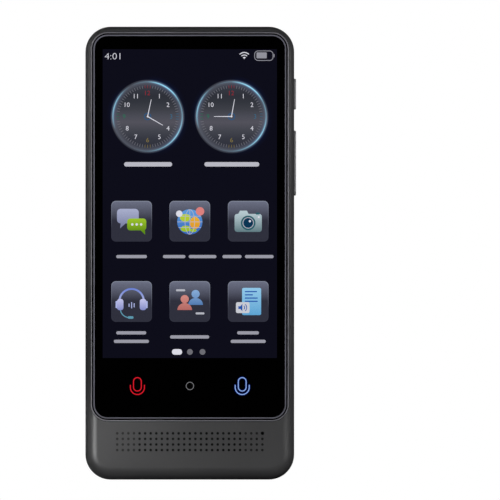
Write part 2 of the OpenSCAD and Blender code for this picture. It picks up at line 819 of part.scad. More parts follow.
// Two insulated wires from the protection board to the main board
module battery_leads() {
    z0 = battery_top + lead_overlap[0];
    color("crimson") for (x = lead_x)
        translate([x, y_board_back + lead_r, z0])
            cylinder(r = lead_r, h = board_z + lead_overlap[1] - z0);
}

// ---- Boards ----

module main_board() {
    color("darkgreen") difference() {
        block(board_x0, board_x1, y_board, y_board_back, board_z, board_top);
        for (i = [-1, 1], j = [-1, 1])
            rod(screw_r, y_board - 1, y_board_back + 1, board_screw_at(i, j)[0],
                board_screw_at(i, j)[1]);
        // Chamfered corners that clear the housing's rounding
        for (x = [board_x0, board_x1])
            translate([x, y_board_back + 1, board_top]) rotate([90, 0, 0])
                linear_extrude(board_t + 2) polygon([
                    [-board_chamfer, 0], [0, -board_chamfer], [board_chamfer, 0], [0, board_chamfer]
                ]);
    }
}

// Open-backed tin can over a group of chips
module shield_can(x0, x1, z0, z1) {
    difference() {
        block(x0, x1, y_board_back, y_board_back + shield_h, z0, z1);
        block(x0 + shield_sheet, x1 - shield_sheet, y_board_back - 1,
            y_board_back + shield_h - shield_sheet, z0 + shield_sheet, z1 - shield_sheet);
    }
}

// Chip package whose middle is at (x, z)
module chip(w, h, x, z) {
    block(x - w / 2, x + w / 2, y_board_back, y_board_back + chip_h, z - h / 2, z + h / 2);
}

module processor_shield() {
    color("silver") shield_can(-shield_split / 2 - processor_shield_w, -shield_split / 2,
        processor_shield_z0, shield_z1);
}

module radio_shield() {
    color("silver") shield_can(shield_split / 2, shield_split / 2 + radio_shield_w,
        radio_shield_z0, shield_z1);
}

// Processor with its memory, as a pair in the middle of their shield
module processor_chip() {
    x = -(shield_split + processor_shield_w) / 2;
    z = (processor_shield_z0 + shield_z1) / 2;
    color("black") {
        chip(processor_side, processor_side, x - (memory_w + memory_gap) / 2, z);
        chip(memory_w, memory_h, x + (processor_side + memory_gap) / 2, z);
    }
}

module radio_chip() {
    color("black") chip(radio_side, radio_side, (shield_split + radio_shield_w) / 2,
        (radio_shield_z0 + shield_z1) / 2);
}

module board_screws() {
    color("lightgray") {
        for (i = [-1, 1], j = [-1, 1])
            screw(board_screw_at(i, j)[0], board_screw_at(i, j)[1], y_board_back, board_t + 1.2);
        for (x = [-1, 1])
            screw(x * boss_x, usb_boss_z, y_usb_board_back, usb_board_t + 1.2);
    }
}

// Antenna on the inside of the cover, with a tail down to the main board
module antenna_flex() {
    x = antenna_x0;
    z1 = antenna_z1 - 1;
    z0 = z1 - antenna_tail_w;
    color("darkorange") {
        block(x, x + antenna_w, y_cover - flex_t, y_cover, antenna_z0, antenna_z1);
        block(x, x + flex_t, y_board_back, y_cover, z0, z1);
        block(x, x + antenna_foot, y_board_back, y_board_back + flex_t, z0, z1);
    }
}

// ---- Camera ----

module camera_module() {
    color("black") difference() {
        union() {
            plate(camera_side, camera_side, y_board_back, y_board_back + camera_base_t, 0.6,
                0, camera_z);
            rod(barrel_d / 2, y_board_back + camera_base_t, y_barrel, 0, camera_z);
        }
        rod(lens_d / 2, y_barrel - lens_t - lens_recess, y_barrel + 1, 0, camera_z);
    }
}

module camera_lens() {
    color("royalblue") rod(lens_d / 2 - lens_fit, y_barrel - lens_t - lens_recess,
        y_barrel - lens_recess, 0, camera_z);
}

module camera_gasket() {
    color("black") difference() {
        rod(barrel_d / 2, y_barrel, island_floor, 0, camera_z);
        rod(lens_d / 2 + 0.3, y_barrel - 1, island_floor + 1, 0, camera_z);
    }
}

module camera_bezel() {
    y0 = y_back - island_seat;
    y1 = y_back + island_rise;
    color("black") difference() {
        translate([0, 0, camera_z]) swept_slab(island_w, island_h, y0, y1, island_r)
            polygon([
                [0, y0], [island_r, y0], [island_r, y_back], [island_r - island_slope, y1], [0, y1]
            ]);
        plate(window_w, window_h, island_floor, y1 + 1, window_r, 0, camera_z);
        rod(camera_hole_d / 2, y0 - 1, y1 + 1, 0, camera_z);
    }
}

module camera_window() {
    color("darkslategray")
        plate(window_w - 0.1, window_h - 0.1, island_floor, island_floor + window_t, window_r - 0.05,
            0, camera_z);
}

// ---- Side keys ----

// Steel angle that backs the switches; its foot lies on the mid frame
module side_key_bracket() {
    color("silver") {
        block(x_bracket_in, x_bracket, y_frame_back, y_key + 1.3, key_strip_z0, key_strip_z1);
        block(x_bracket_in, frame_w / 2, y_frame_back, y_frame_back + bracket_t, key_strip_z0,
            key_strip_z1);
    }
}

// Flex on the bracket, with a tail that folds over to the main board
module side_key_flex() {
    y_top = y_key + 1.45;
    x_tail = board_x1 - key_tail_reach;
    z0 = key_tail_z - key_tail_w / 2;
    z1 = key_tail_z + key_tail_w / 2;
    color("darkorange") {
        block(x_bracket, x_key_flex, y_key - switch_w / 2 - 0.2, y_top, key_strip_z0, key_strip_z1);
        block(x_tail, x_key_flex, y_top - flex_t, y_top, z0, z1);
        block(x_tail, x_tail + flex_t, y_board_back, y_top, z0, z1);
    }
}

module key_switch(z) {
    block(x_key_flex, x_switch, y_key - switch_w / 2, y_key + switch_w / 2, z - switch_len / 2,
        z + switch_len / 2);
}

module key_dome(z) {
    translate([x_switch, y_key, z]) rotate([0, 90, 0]) difference() {
        cylinder(r1 = dome_d / 2, r2 = dome_d / 4, h = dome_h);
        translate([0, 0, -eps]) cylinder(r1 = dome_d / 2 - 0.12, r2 = dome_d / 4 - 0.12, h = dome_h - 0.1);
    }
}

module power_switch() {
    color("gainsboro") key_switch(power_z);
}

module volume_switches() {
    color("gainsboro") for (s = [-1, 1]) key_switch(volume_z + s * volume_arm);
}

module power_dome() {
    color("gold") key_dome(power_z);
}

module volume_domes() {
    color("gold") for (s = [-1, 1]) key_dome(volume_z + s * volume_arm);
}

// Cap of a side key with its retaining flange
module key_cap(len, flange_gap, flange_len) {
    x_flange = x_in - flange_gap;
    rotate([0, 0, 90])
        soft_slab(key_w, len, -x_side - key_proud, -x_flange, key_w / 2 - eps, 0.35, 0);
    rotate([0, 0, 90])
        plate(key_w + 2 * flange_w, flange_len, -x_flange, -x_flange + flange_t, 0.8);
}

// Round actuating tip behind a key
module key_tip(z, x_from) {
    translate([x_tip, 0, z]) rotate([0, 90, 0]) cylinder(r = tip_d / 2, h = x_from - x_tip);
}

module power_button() {
    color("darkgray") translate([0, y_key, power_z]) {
        key_cap(power_len, power_flange_gap, power_len + 1.4);
        key_tip(0, x_in - power_flange_gap - flange_t);
    }
}

// Tips on the round rib at its middle
module volume_rocker() {
    x_flange = x_in - rocker_flange_gap;
    color("darkgray") translate([0, y_key, volume_z]) {
        key_cap(volume_len, rocker_flange_gap, volume_len + 1);
        for (s = [-1, 1]) key_tip(s * volume_arm, x_flange - flange_t);
        translate([x_key_flex + fulcrum_gap + fulcrum_r, 0, 0]) {
            rotate([90, 0, 0]) cylinder(r = fulcrum_r, h = key_w, center = true);
            block(0, x_flange - flange_t - x_key_flex - fulcrum_gap - fulcrum_r, -key_w / 2,
                key_w / 2, -fulcrum_r, fulcrum_r);
        }
    }
}

// ---- Lower board, socket, speaker and microphone ----

module usb_board() {
    color("darkgreen") difference() {
        plate(usb_board_w, usb_board_h, y_usb_board, y_usb_board_back, usb_board_r, 0,
            usb_board_z + usb_board_h / 2);
        block(-usb_w / 2 - 0.1, usb_w / 2 + 0.1, y_usb_board - 1, y_usb_board_back + 1,
            usb_board_z - 1, usb_recess + usb_len + 0.1);
        for (x = [-1, 1])
            rod(screw_r, y_usb_board - 1, y_usb_board_back + 1, x * boss_x, usb_boss_z);
    }
}

module usb_c_shell() {
    color("silver") {
        translate([0, y_usb, usb_recess]) difference() {
            linear_extrude(usb_len) rounded_rect(usb_w, usb_h, socket_r);
            translate([0, 0, -1]) linear_extrude(usb_len + 1 - usb_sheet)
                rounded_rect(usb_w - 2 * usb_sheet, usb_h - 2 * usb_sheet, socket_r - usb_sheet);
        }
        // Solder tabs on the board
        for (m = [0, 1], z = tab_z) mirror([m, 0, 0])
            block(usb_w / 2 - tab_t, usb_w / 2 + tab_w, y_usb_board - tab_t, y_usb_board, z,
                z + tab_len);
    }
}

module usb_c_tongue() {
    back = usb_recess + usb_len - usb_sheet;
    color("black") {
        block(-tongue_w / 2, tongue_w / 2, y_usb - tongue_t / 2, y_usb + tongue_t / 2,
            usb_recess + tongue_recess, back);
        translate([0, y_usb, back - tongue_base]) linear_extrude(tongue_base)
            rounded_rect(usb_w - 2 * usb_sheet, usb_h - 2 * usb_sheet, socket_r - usb_sheet);
    }
}

module speaker_mesh() {
    color("black") plate(speaker_w - 1, speaker_h - 1, y_chin, y_gasket, 1, 0, grille_z);
}

module speaker_gasket() {
    color("darkslategray")
        ring_plate(speaker_w, speaker_h, speaker_r, speaker_rim, y_gasket, y_speaker, grille_z);
}

module speaker_frame() {
    y1 = y_speaker + speaker_t;
    color("black") difference() {
        plate(speaker_w, speaker_h, y_speaker, y1, speaker_r, 0, grille_z);
        plate(speaker_w - 2 * speaker_rim, speaker_h - 2 * speaker_rim, y_speaker - 1,
            y1 - speaker_back, 0.8, 0, grille_z);
    }
}

// Dished membrane that sits on the frame's rim
module speaker_cone() {
    w = speaker_w - 2 * speaker_rim;
    h = speaker_h - 2 * speaker_rim;
    y0 = y_speaker + cone_lift;
    color("gray") difference() {
        union() {
            plate(w, h, y0, y0 + cone_t, 0.8, 0, grille_z);
            plate(w - 2 * cone_side, h - 2 * cone_end, y0, y0 + cone_h, 0.8, 0, grille_z);
        }
        plate(w - 2 * (cone_side + cone_t), h - 2 * (cone_end + cone_t), y_speaker,
            y0 + cone_h - cone_t, 0.65, 0, grille_z);
    }
}

module speaker_magnet() {
    color("dimgray") plate(speaker_w - 2 * magnet_side, magnet_h,
        y_speaker + cone_lift + cone_h + magnet_gap, y_speaker + speaker_t - speaker_back, 0.4,
        0, grille_z);
}

module microphone() {
    color("gold") block(mic_x - mic_w / 2, mic_x + mic_w / 2, y_usb_board - mic_t, y_usb_board,
        mic_z - mic_h / 2, mic_z + mic_h / 2);
}

// Rubber tube from the microphone port to the microphone
module mic_boot() {
    color("black") difference() {
        rod(mic_boss_d / 2, y_chin, y_usb_board - mic_t, mic_x, mic_z);
        rod(mic_port_d / 2, y_chin - 1, y_usb_board - mic_t + 1, mic_x, mic_z);
    }
}

// Strip beside the battery that links the two boards
module board_link_flex() {
    x0 = -frame_w / 2 + 0.2;
    x1 = x0 + link_flex_w;
    color("darkorange") {
        block(x0, x1, y_frame_back, y_frame_back + flex_t, link_fold_z, link_z1);
        block(x0, x1, y_frame_back, y_usb_board, link_fold_z, link_fold_z + flex_t);
        block(x0, x1, y_usb_board - flex_t, y_usb_board, link_z0, link_fold_z + flex_t);
        block(x0, x1, y_frame_back, y_board, link_z1 - flex_t, link_z1);
    }
}

// ---- Assembly ----

front_housing();
rear_cover();
bezel_ring();
glass_panel();
glass_adhesive();
display_panel();
display_backlight();
display_flex();
touch_key_board();
mid_frame();
frame_screws();
battery_cell();
battery_adhesive();
battery_protection_board();
battery_leads();
main_board();
processor_chip();
radio_chip();
processor_shield();
radio_shield();
board_screws();
camera_module();
camera_lens();
camera_gasket();
camera_bezel();
camera_window();
antenna_flex();
side_key_bracket();
side_key_flex();
power_switch();
volume_switches();
power_dome();
volume_domes();
power_button();
volume_rocker();
usb_board();
usb_c_shell();
usb_c_tongue();
speaker_frame();
speaker_cone();
speaker_magnet();
speaker_gasket();
speaker_mesh();
microphone();
mic_boot();
board_link_flex();
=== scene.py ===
import math

import bmesh
import bpy
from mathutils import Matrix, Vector


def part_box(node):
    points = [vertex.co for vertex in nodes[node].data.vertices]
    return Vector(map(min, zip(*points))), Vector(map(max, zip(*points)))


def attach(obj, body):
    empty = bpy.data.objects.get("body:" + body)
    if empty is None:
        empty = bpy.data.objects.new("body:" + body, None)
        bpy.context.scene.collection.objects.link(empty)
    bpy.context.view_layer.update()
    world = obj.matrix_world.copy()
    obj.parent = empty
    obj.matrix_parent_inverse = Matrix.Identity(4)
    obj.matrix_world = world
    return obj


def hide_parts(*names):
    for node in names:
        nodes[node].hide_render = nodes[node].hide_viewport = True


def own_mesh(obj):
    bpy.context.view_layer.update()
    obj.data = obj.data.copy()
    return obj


# The CAD nodes get their finishes here. The camera's lens and the snap domes get curved forms, and
# what is print or light is added: the border behind the pane, the picture on the screen and the
# signs of the touch keys. Most sizes are written in mm, which MM turns into metres.
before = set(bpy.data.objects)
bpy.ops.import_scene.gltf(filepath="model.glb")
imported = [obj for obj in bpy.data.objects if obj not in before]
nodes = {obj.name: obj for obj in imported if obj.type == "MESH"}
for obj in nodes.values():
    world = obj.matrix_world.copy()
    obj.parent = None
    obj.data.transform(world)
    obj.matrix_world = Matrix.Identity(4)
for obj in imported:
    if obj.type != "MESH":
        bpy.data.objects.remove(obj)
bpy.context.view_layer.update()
MM = 0.001


def linear(r, g, b):
    """Linear RGBA of a colour given as 0 to 255 on the screen."""
    def one(c):
        c /= 255
        return c / 12.92 if c <= 0.04045 else ((c + 0.055) / 1.055) ** 2.4
    return (one(r), one(g), one(b), 1.0)


def grey(value):
    """Linear RGBA of a grey."""
    return (value, value, value, 1.0)


def show(obj):
    """Puts a new object in the scene."""
    bpy.context.scene.collection.objects.link(obj)


# ---- Camera, lamps, world and floor ----

FRAME_PX = 500              # width and height of the picture
PIXEL = 0.2937 * MM         # what one pixel of it shows
VIEW_CENTRE = (17.68 * MM, 67.43 * MM)
CAMERA_AWAY = 0.6           # metres in front of the part

cam_data = bpy.data.cameras.new("camera")
cam_data.type = "ORTHO"
cam_data.ortho_scale = FRAME_PX * PIXEL
cam_data.clip_start, cam_data.clip_end = 0.01, 20
camera = bpy.data.objects.new("camera", cam_data)
camera.location = (VIEW_CENTRE[0], -CAMERA_AWAY, VIEW_CENTRE[1])
camera.rotation_euler = (math.pi / 2, 0, 0)
show(camera)
bpy.context.scene.camera = camera
bpy.context.scene.view_settings.view_transform = "Standard"


def group(name):
    return bpy.data.collections.new(name)


# What each lamp lights. The panes are in neither of the first two groups, so that no lamp shows in
# them as a hard white patch, and the rear lamps light the rear pieces alone, so that they draw no
# rim round the front.
front_pieces, rear_pieces = group("front_pieces"), group("rear_pieces")
pane_pieces, floor_pieces = group("pane_pieces"), group("floor_pieces")
island_pieces, lens_pieces = group("island_pieces"), group("lens_pieces")


def softbox(name, place, aim, width, height, watts, lit_group, mirrored=True, beam=180):
    """Area lamp at place that faces aim, both in mm. Its face doesn't show in the picture. A beam
    of less than 180 degrees is that of a lamp behind a grid."""
    data = bpy.data.lights.new(name, "AREA")
    data.spread = math.radians(beam)
    data.shape = "RECTANGLE"
    data.size, data.size_y, data.energy = width * MM, height * MM, watts
    lamp = bpy.data.objects.new(name, data)
    lamp.location = Vector(place) * MM
    lamp.rotation_mode = "QUATERNION"
    lamp.rotation_quaternion = (Vector(place) - Vector(aim)).to_track_quat("Z", "Y")
    lamp.visible_camera = False
    lamp.visible_glossy = mirrored
    lamp.light_linking.receiver_collection = lit_group
    show(lamp)


# Place, aim, width and height of each lamp in mm, its watts, and what it lights. The strips draw
# the soft lines along the rounded sides, and front_low lights the chin.
softbox("left_strip_low", (-65, -60, 12), (-28, 0, 12), 56, 12, 0.0017, front_pieces, beam=40)
softbox("left_strip_mid", (-150, -40, 90), (-30, -3, 90), 40, 60, 0.0009, front_pieces, beam=30)
softbox("left_strip_high", (-150, -60, 170), (-30, -3, 125), 60, 60, 0.0042, front_pieces, beam=30)
softbox("right_strip_low", (65, -60, 7), (28, 0, 8), 40, 12, 0.005, front_pieces)
softbox("right_strip_high", (190, -105, 122), (29, 0, 105), 50, 80, 0.194, front_pieces)
softbox("front_low", (-160, -300, 40), (-10, 0, 10), 150, 60, 0.4, front_pieces)
softbox("top", (0, -60, 480), (0, 0, 66), 420, 260, 0.067, front_pieces)
softbox("back_high", (160, 130, 230), (0, 0, 90), 160, 140, 0.71, rear_pieces)
softbox("back_strip", (-190, 120, 90), (-29, 0, 80), 50, 260, 0.15, rear_pieces)
softbox("island_light", (36, 14, 230), (36, 13, 121), 100, 40, 0.036, island_pieces)
softbox("lens_light_high", (0, 490, 246), (0, 6, 121), 130, 100, 1.5, lens_pieces)
softbox("lens_light_low", (0, 393, 21), (0, 6, 121), 120, 120, 1.2, lens_pieces)
softbox("edge_light", (-60, -500, 120), (0, 0, 74), 300, 300, 2.2, pane_pieces, mirrored=False)
softbox("floor_light", (-200, -300, 900), (0, 0, 0), 700, 700, 9.5, floor_pieces)


class Graph:
    """Small helper that fills a node tree."""

    def __init__(self, tree):
        self.tree = tree
        tree.nodes.clear()

    def add(self, kind, values=None, **props):
        """New node. The values are numbers, colours or sockets, by the name or place of their
        input."""
        node = self.tree.nodes.new(kind)
        for key, value in props.items():
            setattr(node, key, value)
        for key, value in (values or {}).items():
            if isinstance(value, bpy.types.NodeSocket):
                self.tree.links.new(value, node.inputs[key])
            else:
                node.inputs[key].default_value = value
        return node

    def math(self, operation, a, b=0.0):
        return self.add("ShaderNodeMath", {0: a, 1: b}, operation=operation).outputs[0]

    def vector_math(self, operation, *values):
        node = self.add("ShaderNodeVectorMath", dict(enumerate(values)), operation=operation)
        return node.outputs["Value" if operation == "LENGTH" else "Vector"]

    def split(self, vector):
        """Parts of a vector, by X, Y and Z."""
        return self.add("ShaderNodeSeparateXYZ", {"Vector": vector}).outputs

    def even(self, value):
        """Grey colour of a value."""
        return self.add("ShaderNodeCombineColor", {0: value, 1: value, 2: value}).outputs[0]

    def ramp(self, fac, stops):
        node = self.add("ShaderNodeValToRGB", {"Fac": fac})
        elements = node.color_ramp.elements
        while len(elements) < len(stops):
            elements.new(0.5)
        for element, (place, colour) in zip(elements, stops):
            element.position = place
            element.color = colour
        return node.outputs["Color"]

    def mix(self, fac, a, b, blend="MIX"):
        # Inputs 6 and 7 and output 2 are those for colours
        node = self.add("ShaderNodeMix", {0: fac, 6: a, 7: b}, data_type="RGBA", blend_type=blend)
        return node.outputs[2]

    def noise(self, scale, detail=2.0, roughness=0.5, vector=None):
        values = {"Scale": scale, "Detail": detail, "Roughness": roughness}
        values["Vector"] = vector or self.object_place()
        return self.add("ShaderNodeTexNoise", values).outputs["Fac"]

    def object_place(self):
        return self.add("ShaderNodeTexCoord").outputs["Object"]

    def spread(self, value, low, high, out_low=0.0, out_high=1.0):
        """Value, brought from one range to another."""
        values = {"Value": value, "From Min": low, "From Max": high, "To Min": out_low,
                  "To Max": out_high}
        return self.add("ShaderNodeMapRange", values).outputs["Result"]

    def vary(self, noise, low=0.0, high=1.0):
        """Noise, which lies between 0.3 and 0.7 nearly everywhere, brought to a range."""
        return self.spread(noise, 0.3, 0.7, low, high)

    def bump(self, height, strength, distance=0.1 * MM):
        values = {"Height": height, "Strength": strength, "Distance": distance}
        return self.add("ShaderNodeBump", values).outputs[0]


def new_material(name):
    material = bpy.data.materials.new(name)
    material.use_nodes = True
    return material, Graph(material.node_tree)


def finish_material(material, g, shader):
    g.add("ShaderNodeOutputMaterial", {"Surface": shader.outputs[0]})
    return material


SHINY_SKY, SOFT_SKY = 0.01, 0.025   # top of the sky in glossy rays and in the rest


def build_world():
    world = bpy.data.worlds.new("studio")
    bpy.context.scene.world = world
    world.use_nodes = True
    g = Graph(world.node_tree)
    path = g.add("ShaderNodeLightPath")
    direction = g.add("ShaderNodeTexCoord").outputs["Generated"]
    height = g.spread(g.split(direction)["Z"], -1, 1)
    # A dark studio with a faint sky, so that the rounded sides fall off to black. It is white
    # where the camera sees it past the object or through it.
    shiny = g.ramp(height, [(0.0, grey(0.0)), (0.45, grey(SHINY_SKY * 0.5)),
                            (1.0, grey(SHINY_SKY))])
    soft = g.ramp(height, [(0.0, grey(0.0)), (0.5, grey(SOFT_SKY * 0.7)), (1.0, grey(SOFT_SKY))])
    seen = g.mix(path.outputs["Is Glossy Ray"], soft, shiny)
    pale = g.math("MAXIMUM", path.outputs["Is Camera Ray"], path.outputs["Is Transmission Ray"])
    colour = g.mix(pale, seen, grey(1.0))
    g.add("ShaderNodeOutputWorld", {
        "Surface": g.add("ShaderNodeBackground", {"Color": colour}).outputs[0]})


FLOOR_RADIUS = 6            # metres
FLOOR_TONE = (0.84, 0.87)   # darkest and palest of the paper's grain
FLOOR_BOUNCE = 0.03         # its tone in all but camera rays
FLOOR_FADE = (0.15, 0.9)    # metres from the part between which it fades to white


def build_floor():
    """Pale paper that takes the part's shadow and throws little light back up."""
    bm = bmesh.new()
    bmesh.ops.create_circle(bm, cap_ends=True, segments=96, radius=FLOOR_RADIUS)
    mesh = bpy.data.meshes.new("floor")
    bm.to_mesh(mesh)
    bm.free()
    floor = bpy.data.objects.new("floor", mesh)
    floor.location.z = -0.02 * MM
    show(floor)
    material, g = new_material("floor_paper")
    path = g.add("ShaderNodeLightPath")
    far = g.spread(g.vector_math("LENGTH", g.object_place()), *FLOOR_FADE)
    grain = g.vary(g.noise(220, 3), *FLOOR_TONE)
    paper = g.add("ShaderNodeBsdfDiffuse", {"Color": g.even(grain)})
    white = g.add("ShaderNodeEmission", {"Color": grey(1.0), "Strength": 1.0})
    seen = g.math("MULTIPLY", far, path.outputs["Is Camera Ray"])
    shown = g.add("ShaderNodeMixShader", {0: seen, 1: paper.outputs[0], 2: white.outputs[0]})
    dark = g.add("ShaderNodeBsdfDiffuse", {"Color": grey(FLOOR_BOUNCE)})
    surface = g.add("ShaderNodeMixShader", {
        0: path.outputs["Is Camera Ray"], 1: dark.outputs[0], 2: shown.outputs[0]})
    mesh.materials.append(finish_material(material, g, surface))
    floor_pieces.objects.link(floor)


build_world()
build_floor()


# ---- Materials ----

def moulded(name, colour, rough=0.45, grain=2600, bump=0.06, vary=0.12, **sockets):
    """Moulded, cast or coated surface: fine grain in the bump, soft clouds in colour and gloss."""
    material, g = new_material(name)
    fine = g.noise(grain, 3, 0.6)
    clouds = g.noise(60, 4, 0.55)
    dark = tuple(c * (1 - vary) for c in colour[:3]) + (1,)
    light = tuple(min(1, c * (1 + vary)) for c in colour[:3]) + (1,)
    tone = g.math("ADD", g.math("MULTIPLY", clouds, 0.7), g.math("MULTIPLY", fine, 0.3))
    shader = g.add("ShaderNodeBsdfPrincipled", {
        "Base Color": g.mix(g.vary(tone), dark, light),
        "Roughness": g.vary(clouds, rough - 0.03, rough + 0.03),
        "Normal": g.bump(fine, bump), **sockets})
    return finish_material(material, g, shader)


def brushed(name, colour, rough=0.32, stretch=(40, 40, 900)):
    """Drawn or rolled metal, with streaks across one axis."""
    material, g = new_material(name)
    place = g.add("ShaderNodeMapping", {"Vector": g.object_place(), "Scale": stretch})
    streaks = g.noise(6, 4, 0.6, place.outputs[0])
    dark = tuple(c * 0.82 for c in colour[:3]) + (1,)
    shader = g.add("ShaderNodeBsdfPrincipled", {
        "Base Color": g.mix(g.vary(streaks), dark, colour),
        "Roughness": g.vary(streaks, rough - 0.06, rough + 0.08),
        "Metallic": 1.0, "Normal": g.bump(streaks, 0.08)})
    return finish_material(material, g, shader)


def circuit(name, mask, copper):
    """Solder mask or film with copper tracks that show through it."""
    material, g = new_material(name)
    cells = g.add("ShaderNodeTexVoronoi", {"Vector": g.object_place(), "Scale": 900.0},
                  feature="DISTANCE_TO_EDGE", distance="MANHATTAN")
    track = g.spread(cells.outputs["Distance"], 0.06, 0.1, 1, 0)
    speck = g.noise(700, 2)
    colour = g.mix(g.math("MULTIPLY", track, 0.7), g.mix(speck, mask, grey(0.02)), copper)
    shader = g.add("ShaderNodeBsdfPrincipled", {
        "Base Color": colour, "Roughness": g.vary(speck, 0.32, 0.42),
        "Normal": g.bump(track, 0.2, 0.05 * MM)})
    return finish_material(material, g, shader)


def woven(name, colour, pitch):
    """Woven or foamed surface with an open structure, whose cells are pitch metres wide."""
    material, g = new_material(name)
    cells = g.add("ShaderNodeTexVoronoi", {"Vector": g.object_place(), "Scale": 1 / pitch})
    depth = cells.outputs["Distance"]
    shader = g.add("ShaderNodeBsdfPrincipled", {
        "Base Color": g.mix(depth, colour, grey(0.004)), "Roughness": 0.9,
        "Normal": g.bump(depth, 0.6, 0.2 * MM)})
    return finish_material(material, g, shader)


def clear_glass(name, tint):
    """Thin pane: it lets the ray through straight and adds a clear reflection by Fresnel."""
    material, g = new_material(name)
    smears = g.spread(g.noise(45, 3, 0.6), 0.35, 0.75, 0.015, 0.045)
    gloss = g.add("ShaderNodeBsdfGlossy", {"Color": grey(1.0), "Roughness": smears})
    through = g.add("ShaderNodeBsdfTransparent", {"Color": tint})
    fresnel = g.add("ShaderNodeFresnel", {"IOR": 1.5})
    inside = g.add("ShaderNodeNewGeometry").outputs["Backfacing"]
    share = g.math("MULTIPLY", fresnel.outputs[0], g.math("SUBTRACT", 1.0, inside))
    shader = g.add("ShaderNodeMixShader", {
        0: share, 1: through.outputs[0], 2: gloss.outputs[0]})
    return finish_material(material, g, shader)


camera_axis_z = (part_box("camera_lens")[0].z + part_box("camera_lens")[1].z) / 2
LENS_COAT_R = 2.1 * MM      # radius at which the coat has its rim colour


def lens_coat(name):
    """Coated front element: a deep blue that turns violet towards the rim, with a painted glow in
    the middle that the emission gives off as light.
    """
    material, g = new_material(name)
    offset = g.vector_math("SUBTRACT", g.object_place(), (0, 0, camera_axis_z))
    from_axis = g.vector_math("LENGTH", g.vector_math("MULTIPLY", offset, (1, 0, 1)))
    colour = g.ramp(g.math("DIVIDE", from_axis, LENS_COAT_R), [
        (0.0, linear(60, 110, 220)), (0.25, linear(8, 22, 110)), (0.6, linear(10, 8, 60)),
        (1.0, linear(4, 4, 14))])
    shader = g.add("ShaderNodeBsdfPrincipled", {
        "Base Color": colour, "Roughness": g.vary(g.noise(400), 0.03, 0.06),
        "Coat Weight": 1.0, "Coat Roughness": 0.02, "Coat Tint": (0.6, 0.7, 1, 1),
        # The emission gives off the painted glow
        "Emission Color": colour, "Emission Strength": 0.35})
    return finish_material(material, g, shader)


housing_plastic = moulded("housing_plastic", linear(68, 68, 69), rough=0.4, bump=0.05, vary=0.05)
key_coat = moulded("key_coat", linear(150, 150, 152), rough=0.36, bump=0.03, vary=0.05)
# The ring's light tone is partly its own colour and partly a painted highlight for the line of
# light along its edge
ring_tone_and_highlight = moulded("ring_tone_and_highlight", linear(128, 127, 134), rough=0.34, bump=0.02, vary=0.05)
# The pane's ground edge is partly its own frosted tone and partly a painted highlight for the light
# its rounded edge reflects
ground_edge_and_highlight = moulded("ground_edge_and_highlight", linear(120, 120, 132), rough=0.4, bump=0.04, vary=0.08)
# Painted shade: a dark grey for the dimples of the speaker field
dimple_shade = moulded("dimple_shade", linear(22, 22, 23), rough=0.6)
# Painted shade: black for the speaker holes, the seat of the pane and the ring's side that faces it
painted_gap_shade = moulded("painted_gap_shade", linear(3, 3, 3), rough=0.8, **{"Specular IOR Level": 0.1})
window_rim = moulded("window_rim", linear(96, 96, 98), rough=0.3, bump=0.02, vary=0.05)
island_gloss = moulded("island_gloss", linear(7, 7, 8), rough=0.18, bump=0.01, vary=0.1)
black_plastic = moulded("black_plastic", linear(24, 24, 25), rough=0.5)
chip_epoxy = moulded("chip_epoxy", linear(32, 32, 33), rough=0.55, grain=5000, bump=0.1)
switch_resin = moulded("switch_resin", linear(200, 198, 190), rough=0.5)
tape = moulded("tape", linear(20, 20, 21), rough=0.7, grain=1500, bump=0.15)
light_guide = moulded("light_guide", linear(235, 238, 240), rough=0.4)
panel_back = moulded("panel_back", linear(10, 10, 18), rough=0.25)
wire_sleeve = moulded("wire_sleeve", linear(150, 22, 22), rough=0.4)
foil = moulded("foil", linear(178, 182, 188), rough=0.35, grain=500, bump=0.2, Metallic=0.9)
cast_metal = moulded("cast_metal", linear(165, 167, 170), rough=0.42, grain=1800, Metallic=1.0)
magnet_plate = moulded("magnet_plate", linear(120, 121, 124), rough=0.3, Metallic=1.0)
cone_film = moulded("cone_film", linear(84, 84, 88), rough=0.38)
can_metal = brushed("can_metal", linear(190, 191, 193))
socket_steel = brushed("socket_steel", linear(176, 178, 182), stretch=(40, 40, 1400))
screw_steel = brushed("screw_steel", linear(150, 151, 154), stretch=(300, 300, 300), rough=0.28)
gold_metal = brushed("gold_metal", linear(212, 176, 96), stretch=(200, 200, 200), rough=0.25)
green_board = circuit("green_board", linear(12, 74, 44), linear(60, 120, 60))
amber_film = circuit("amber_film", linear(176, 104, 30), linear(206, 140, 60))
acoustic_mesh = woven("acoustic_mesh", linear(9, 9, 10), 0.12 * MM)
foam = woven("foam", linear(34, 34, 35), 0.18 * MM)
cover_glass = clear_glass("cover_glass", (0.97, 0.97, 0.98, 1))
camera_glass = clear_glass("camera_glass", (0.55, 0.55, 0.6, 1))
lens_glass = lens_coat("lens_glass")

PANES = ("glass_panel", "camera_window")
REAR = ("rear_cover", "camera_bezel", "camera_lens", "camera_module")
for name, node in nodes.items():
    (pane_pieces if name in PANES else front_pieces).objects.link(node)
    if name in REAR:
        rear_pieces.objects.link(node)
island_pieces.objects.link(nodes["camera_bezel"])

